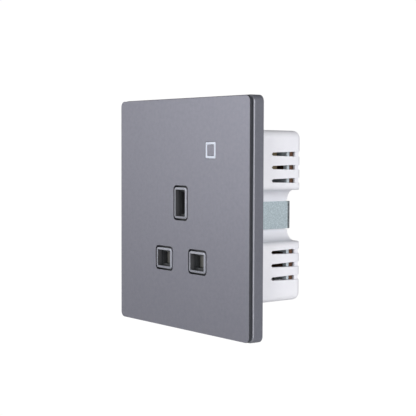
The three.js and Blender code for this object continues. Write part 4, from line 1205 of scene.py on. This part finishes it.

# ---------------------------------------------------------------- front panel
# The pull-off panel: a thin moulded face in satin metallic lacquer with a dark cut edge, on a
# step and skirt that snap into the frame. The step and skirt are coloured near-black as painted
# shadow in the groove between the face and the frame. The whole face comes off straight forward.

PANEL_SIZE = (85.4, 89.4)
PANEL_CORNER = 2.2
PANEL_FRONT = -6.3
PANEL_BACK = -5.2
PANEL_EDGE = 0.12
STEP_INSET = 0.9
STEP_BACK = -4.8
SKIRT_SIZE = (78.6, 82.6)
SKIRT_WALL = 1.2
SKIRT_BACK = -3.1
SKIRT_CORNERS = (1.2, 0.4)
LAP = 0.1
SNAP_RIDGE = (0.5, 9.0)
SNAP_RIDGE_CORNER = 0.2
SNAP_RIDGE_SPAN = (-4.1, -3.3)
APERTURE_MARGIN = 2.75
APERTURE_CORNER = 1.55
KEY_HOLE = 6.3
KEY_HOLE_CORNER = 0.5


def panel_holes():
    holes = [
        rounded_outline(x, z, w + 2 * APERTURE_MARGIN, h + 2 * APERTURE_MARGIN, APERTURE_CORNER)
        for x, z, w, h in PINS.values()
    ]
    return [*holes, rounded_outline(*KEY_PLACE, KEY_HOLE, KEY_HOLE, KEY_HOLE_CORNER)]


def snap_ridge(side_x, side_z):
    """A ridge on the skirt that clicks into the frame."""
    x, z = side_x * SKIRT_SIZE[0] / 2, side_z * SKIRT_SIZE[1] / 4
    outline = rounded_outline(x, z, *SNAP_RIDGE, SNAP_RIDGE_CORNER)
    return plate([outline], *SNAP_RIDGE_SPAN, 0.15, 2)


step_size = [size - 2 * STEP_INSET for size in PANEL_SIZE]
skirt_inside = [size - 2 * SKIRT_WALL for size in SKIRT_SIZE]
face_line = rounded_outline(0, 0, *PANEL_SIZE, PANEL_CORNER, CORNER_STEPS)
step_line = rounded_outline(0, 0, *step_size, PANEL_CORNER - STEP_INSET, CORNER_STEPS)
skirt_lines = [
    rounded_outline(0, 0, *size, corner)
    for size, corner in zip((SKIRT_SIZE, skirt_inside), SKIRT_CORNERS)
]
ridges = [snap_ridge(side_x, side_z) for side_x in (-1, 1) for side_z in (-1, 1)]
panel = joined(
    "panel_face",
    plate([face_line, *panel_holes()], PANEL_FRONT, PANEL_BACK, PANEL_EDGE, 4),
    plate([step_line, *panel_holes()], PANEL_BACK - LAP, STEP_BACK, 0.05, 1),
    plate(skirt_lines, STEP_BACK - LAP, SKIRT_BACK, 0.1, 1),
    *ridges,
)
panel_lacquer = painted_finish(
    "panel_lacquer", (0.204, 0.205, 0.248), (0.274, 0.275, 0.323), 0.42, 0.5
)
slate_edge = moulded_finish(
    "slate_edge", (0.025, 0.027, 0.034), (0.034, 0.037, 0.045), 4000, 0.006, 0.4, mottle=400
)
# Near-black for the step and skirt: painted shadow in the groove behind the face.
painted_shadow_step = moulded_finish(
    "painted_shadow_step", (0.010, 0.010, 0.012), (0.018, 0.018, 0.021), 3600, 0.01, 0.5, mottle=400
)
dress(smooth_shaded(panel, 40), panel_lacquer, slate_edge, painted_shadow_step)
# Faces behind the face plate take the near-black painted shadow; sideways and back-facing faces
# take the slate edge; the rest take the lacquer.
for face in panel.data.polygons:
    if face.center.y > (PANEL_BACK - 0.02) * MM:
        face.material_index = 2
    elif abs(face.normal.y) < 0.55 or face.normal.y > 0:
        face.material_index = 1
    else:
        face.material_index = 0
stands_for(panel, "panel_paint", "front_panel", body="panel")

# ---------------------------------------------------------------- touch key
# A square light guide that shows as a thin pale ring, flush with the panel, with a pad of the
# same lacquer inside it. The pad senses a finger and does not travel.

KEY_RING = 6.1
KEY_RING_CORNER = 0.45
KEY_STROKE = 0.9
KEY_WINDOW = KEY_RING - 2 * KEY_STROKE
KEY_FLANGE = 7.7
KEY_FLANGE_CORNER = 0.4
KEY_BACK = -4.4
PAD_SIZE = KEY_WINDOW - 0.2

window_line = rounded_outline(*KEY_PLACE, KEY_WINDOW, KEY_WINDOW, 0.2)
ring_line = rounded_outline(*KEY_PLACE, KEY_RING, KEY_RING, KEY_RING_CORNER)
flange_line = rounded_outline(*KEY_PLACE, KEY_FLANGE, KEY_FLANGE, KEY_FLANGE_CORNER)
key_ring = joined(
    "key_light_ring",
    plate([ring_line, window_line], PANEL_FRONT, FRAME_FRONT + LAP, 0.06, 2),
    plate([flange_line, window_line], FRAME_FRONT, KEY_BACK, 0.05, 1),
)
key_glow = moulded_finish(
    "key_light_guide", (0.66, 0.70, 0.80), (0.74, 0.78, 0.88), 900, 0.004, 0.32, mottle=900,
    Emission_Color=(0.72, 0.78, 0.95, 1), Emission_Strength=0.12,
)
dress(smooth_shaded(key_ring, 40), key_glow)
stands_for(key_ring, "light_guide", "indicator_ring", body="panel")

pad_line = rounded_outline(*KEY_PLACE, PAD_SIZE, PAD_SIZE, 0.25)
key_pad = piece_from("key_pad", plate([pad_line], PANEL_FRONT, KEY_BACK, 0.08, 2))
dress(smooth_shaded(key_pad, 40), panel_lacquer)
stands_for(key_pad, "panel_paint", "touch_pad", body="panel")

# ---------------------------------------------------------------- setting
# Nothing here belongs to the socket: a pale floor well below it, four soft lights in a grey
# room, and the camera in front on the right.

CAMERA_PLACE = (0.3644, -0.2643, 0.0258)
CAMERA_LENS = 99.76
CAMERA_ANGLES = (53.33, 2.99, 0.178)
ROOM_GREYS = ((0.0, 0.35), (0.45, 0.42), (0.55, 0.6), (0.85, 0.25))
FLOOR_RADIUS = 0.62
FLOOR_LEVEL = -0.26

camera_data = bpy.data.cameras.new("camera")
camera_data.sensor_width = 36
camera_data.lens = CAMERA_LENS
camera = bpy.data.objects.new("camera", camera_data)
yaw, pitch, roll = (math.radians(angle) for angle in CAMERA_ANGLES)
ahead = Vector(
    (-math.sin(yaw) * math.cos(pitch), math.cos(yaw) * math.cos(pitch), -math.sin(pitch))
)
level = Vector((math.cos(yaw), math.sin(yaw), 0))
above = level.cross(ahead)
right = math.cos(roll) * level + math.sin(roll) * above
top = -math.sin(roll) * level + math.cos(roll) * above
camera.matrix_world = Matrix.Translation(CAMERA_PLACE) @ Matrix(
    (right, top, -ahead)
).transposed().to_4x4()
bpy.context.scene.collection.objects.link(camera)
bpy.context.scene.camera = camera


def soft_light(name, place, width, height, watts):
    """A flat softbox that faces the socket."""
    light = bpy.data.lights.new(name, "AREA")
    light.shape = "RECTANGLE"
    light.size = width
    light.size_y = height
    light.energy = watts
    lamp = bpy.data.objects.new(name, light)
    lamp.location = place
    lamp.rotation_euler = (-Vector(place)).to_track_quat("-Z", "Y").to_euler()
    bpy.context.scene.collection.objects.link(lamp)


soft_light("left_softbox", (-0.46, -0.65, 0.18), 0.5, 0.5, 2.45)
soft_light("right_softbox", (0.75, -0.10, 0.12), 0.6, 0.7, 4.4)
soft_light("side_strip", (-0.85, 0.02, -0.05), 0.3, 0.6, 0.9)
soft_light("front_strip", (0.50, -0.68, 0.10), 0.2, 0.6, 1.4)

world = bpy.data.worlds.new("studio")
bpy.context.scene.world = world
world.use_nodes = True
tree = world.node_tree
tree.nodes.clear()
direction = new_node(tree, "ShaderNodeTexCoord")
parts = new_node(tree, "ShaderNodeSeparateXYZ", Vector=direction.outputs["Generated"])
height = new_node(tree, "ShaderNodeMapRange", Value=parts.outputs["Z"], From_Min=-1)
greys = [(place, (grey, grey, grey)) for place, grey in ROOM_GREYS]
walls = ramped(tree, height.outputs["Result"], *greys)
room = new_node(tree, "ShaderNodeBackground", Color=walls, Strength=0.55)
seen = new_node(tree, "ShaderNodeBackground", Color=(1, 1, 1, 1), Strength=1.02)
path = new_node(tree, "ShaderNodeLightPath")
choice = new_node(tree, "ShaderNodeMixShader", Fac=path.outputs["Is Camera Ray"])
tree.links.new(room.outputs["Background"], choice.inputs[1])
tree.links.new(seen.outputs["Background"], choice.inputs[2])
new_node(tree, "ShaderNodeOutputWorld", Surface=choice.outputs["Shader"])
bpy.context.scene.view_settings.view_transform = "Standard"

floor_material, floor_tree, floor_shader = new_finish("floor_paper")
paper = ramped(
    floor_tree, noise(floor_tree, 40), (0.3, (0.86, 0.86, 0.87)), (0.7, (0.89, 0.89, 0.90))
)
fed(floor_tree, floor_shader, Base_Color=paper)
floor_disc = bmesh.new()
bmesh.ops.create_circle(floor_disc, cap_ends=True, segments=96, radius=FLOOR_RADIUS)
bmesh.ops.translate(floor_disc, verts=floor_disc.verts, vec=(0, 0, FLOOR_LEVEL))
floor_mesh = bpy.data.meshes.new("floor")
floor_disc.to_mesh(floor_mesh)
floor_disc.free()
floor_mesh.materials.append(floor_material)
floor = bpy.data.objects.new("floor", floor_mesh)
bpy.context.scene.collection.objects.link(floor)
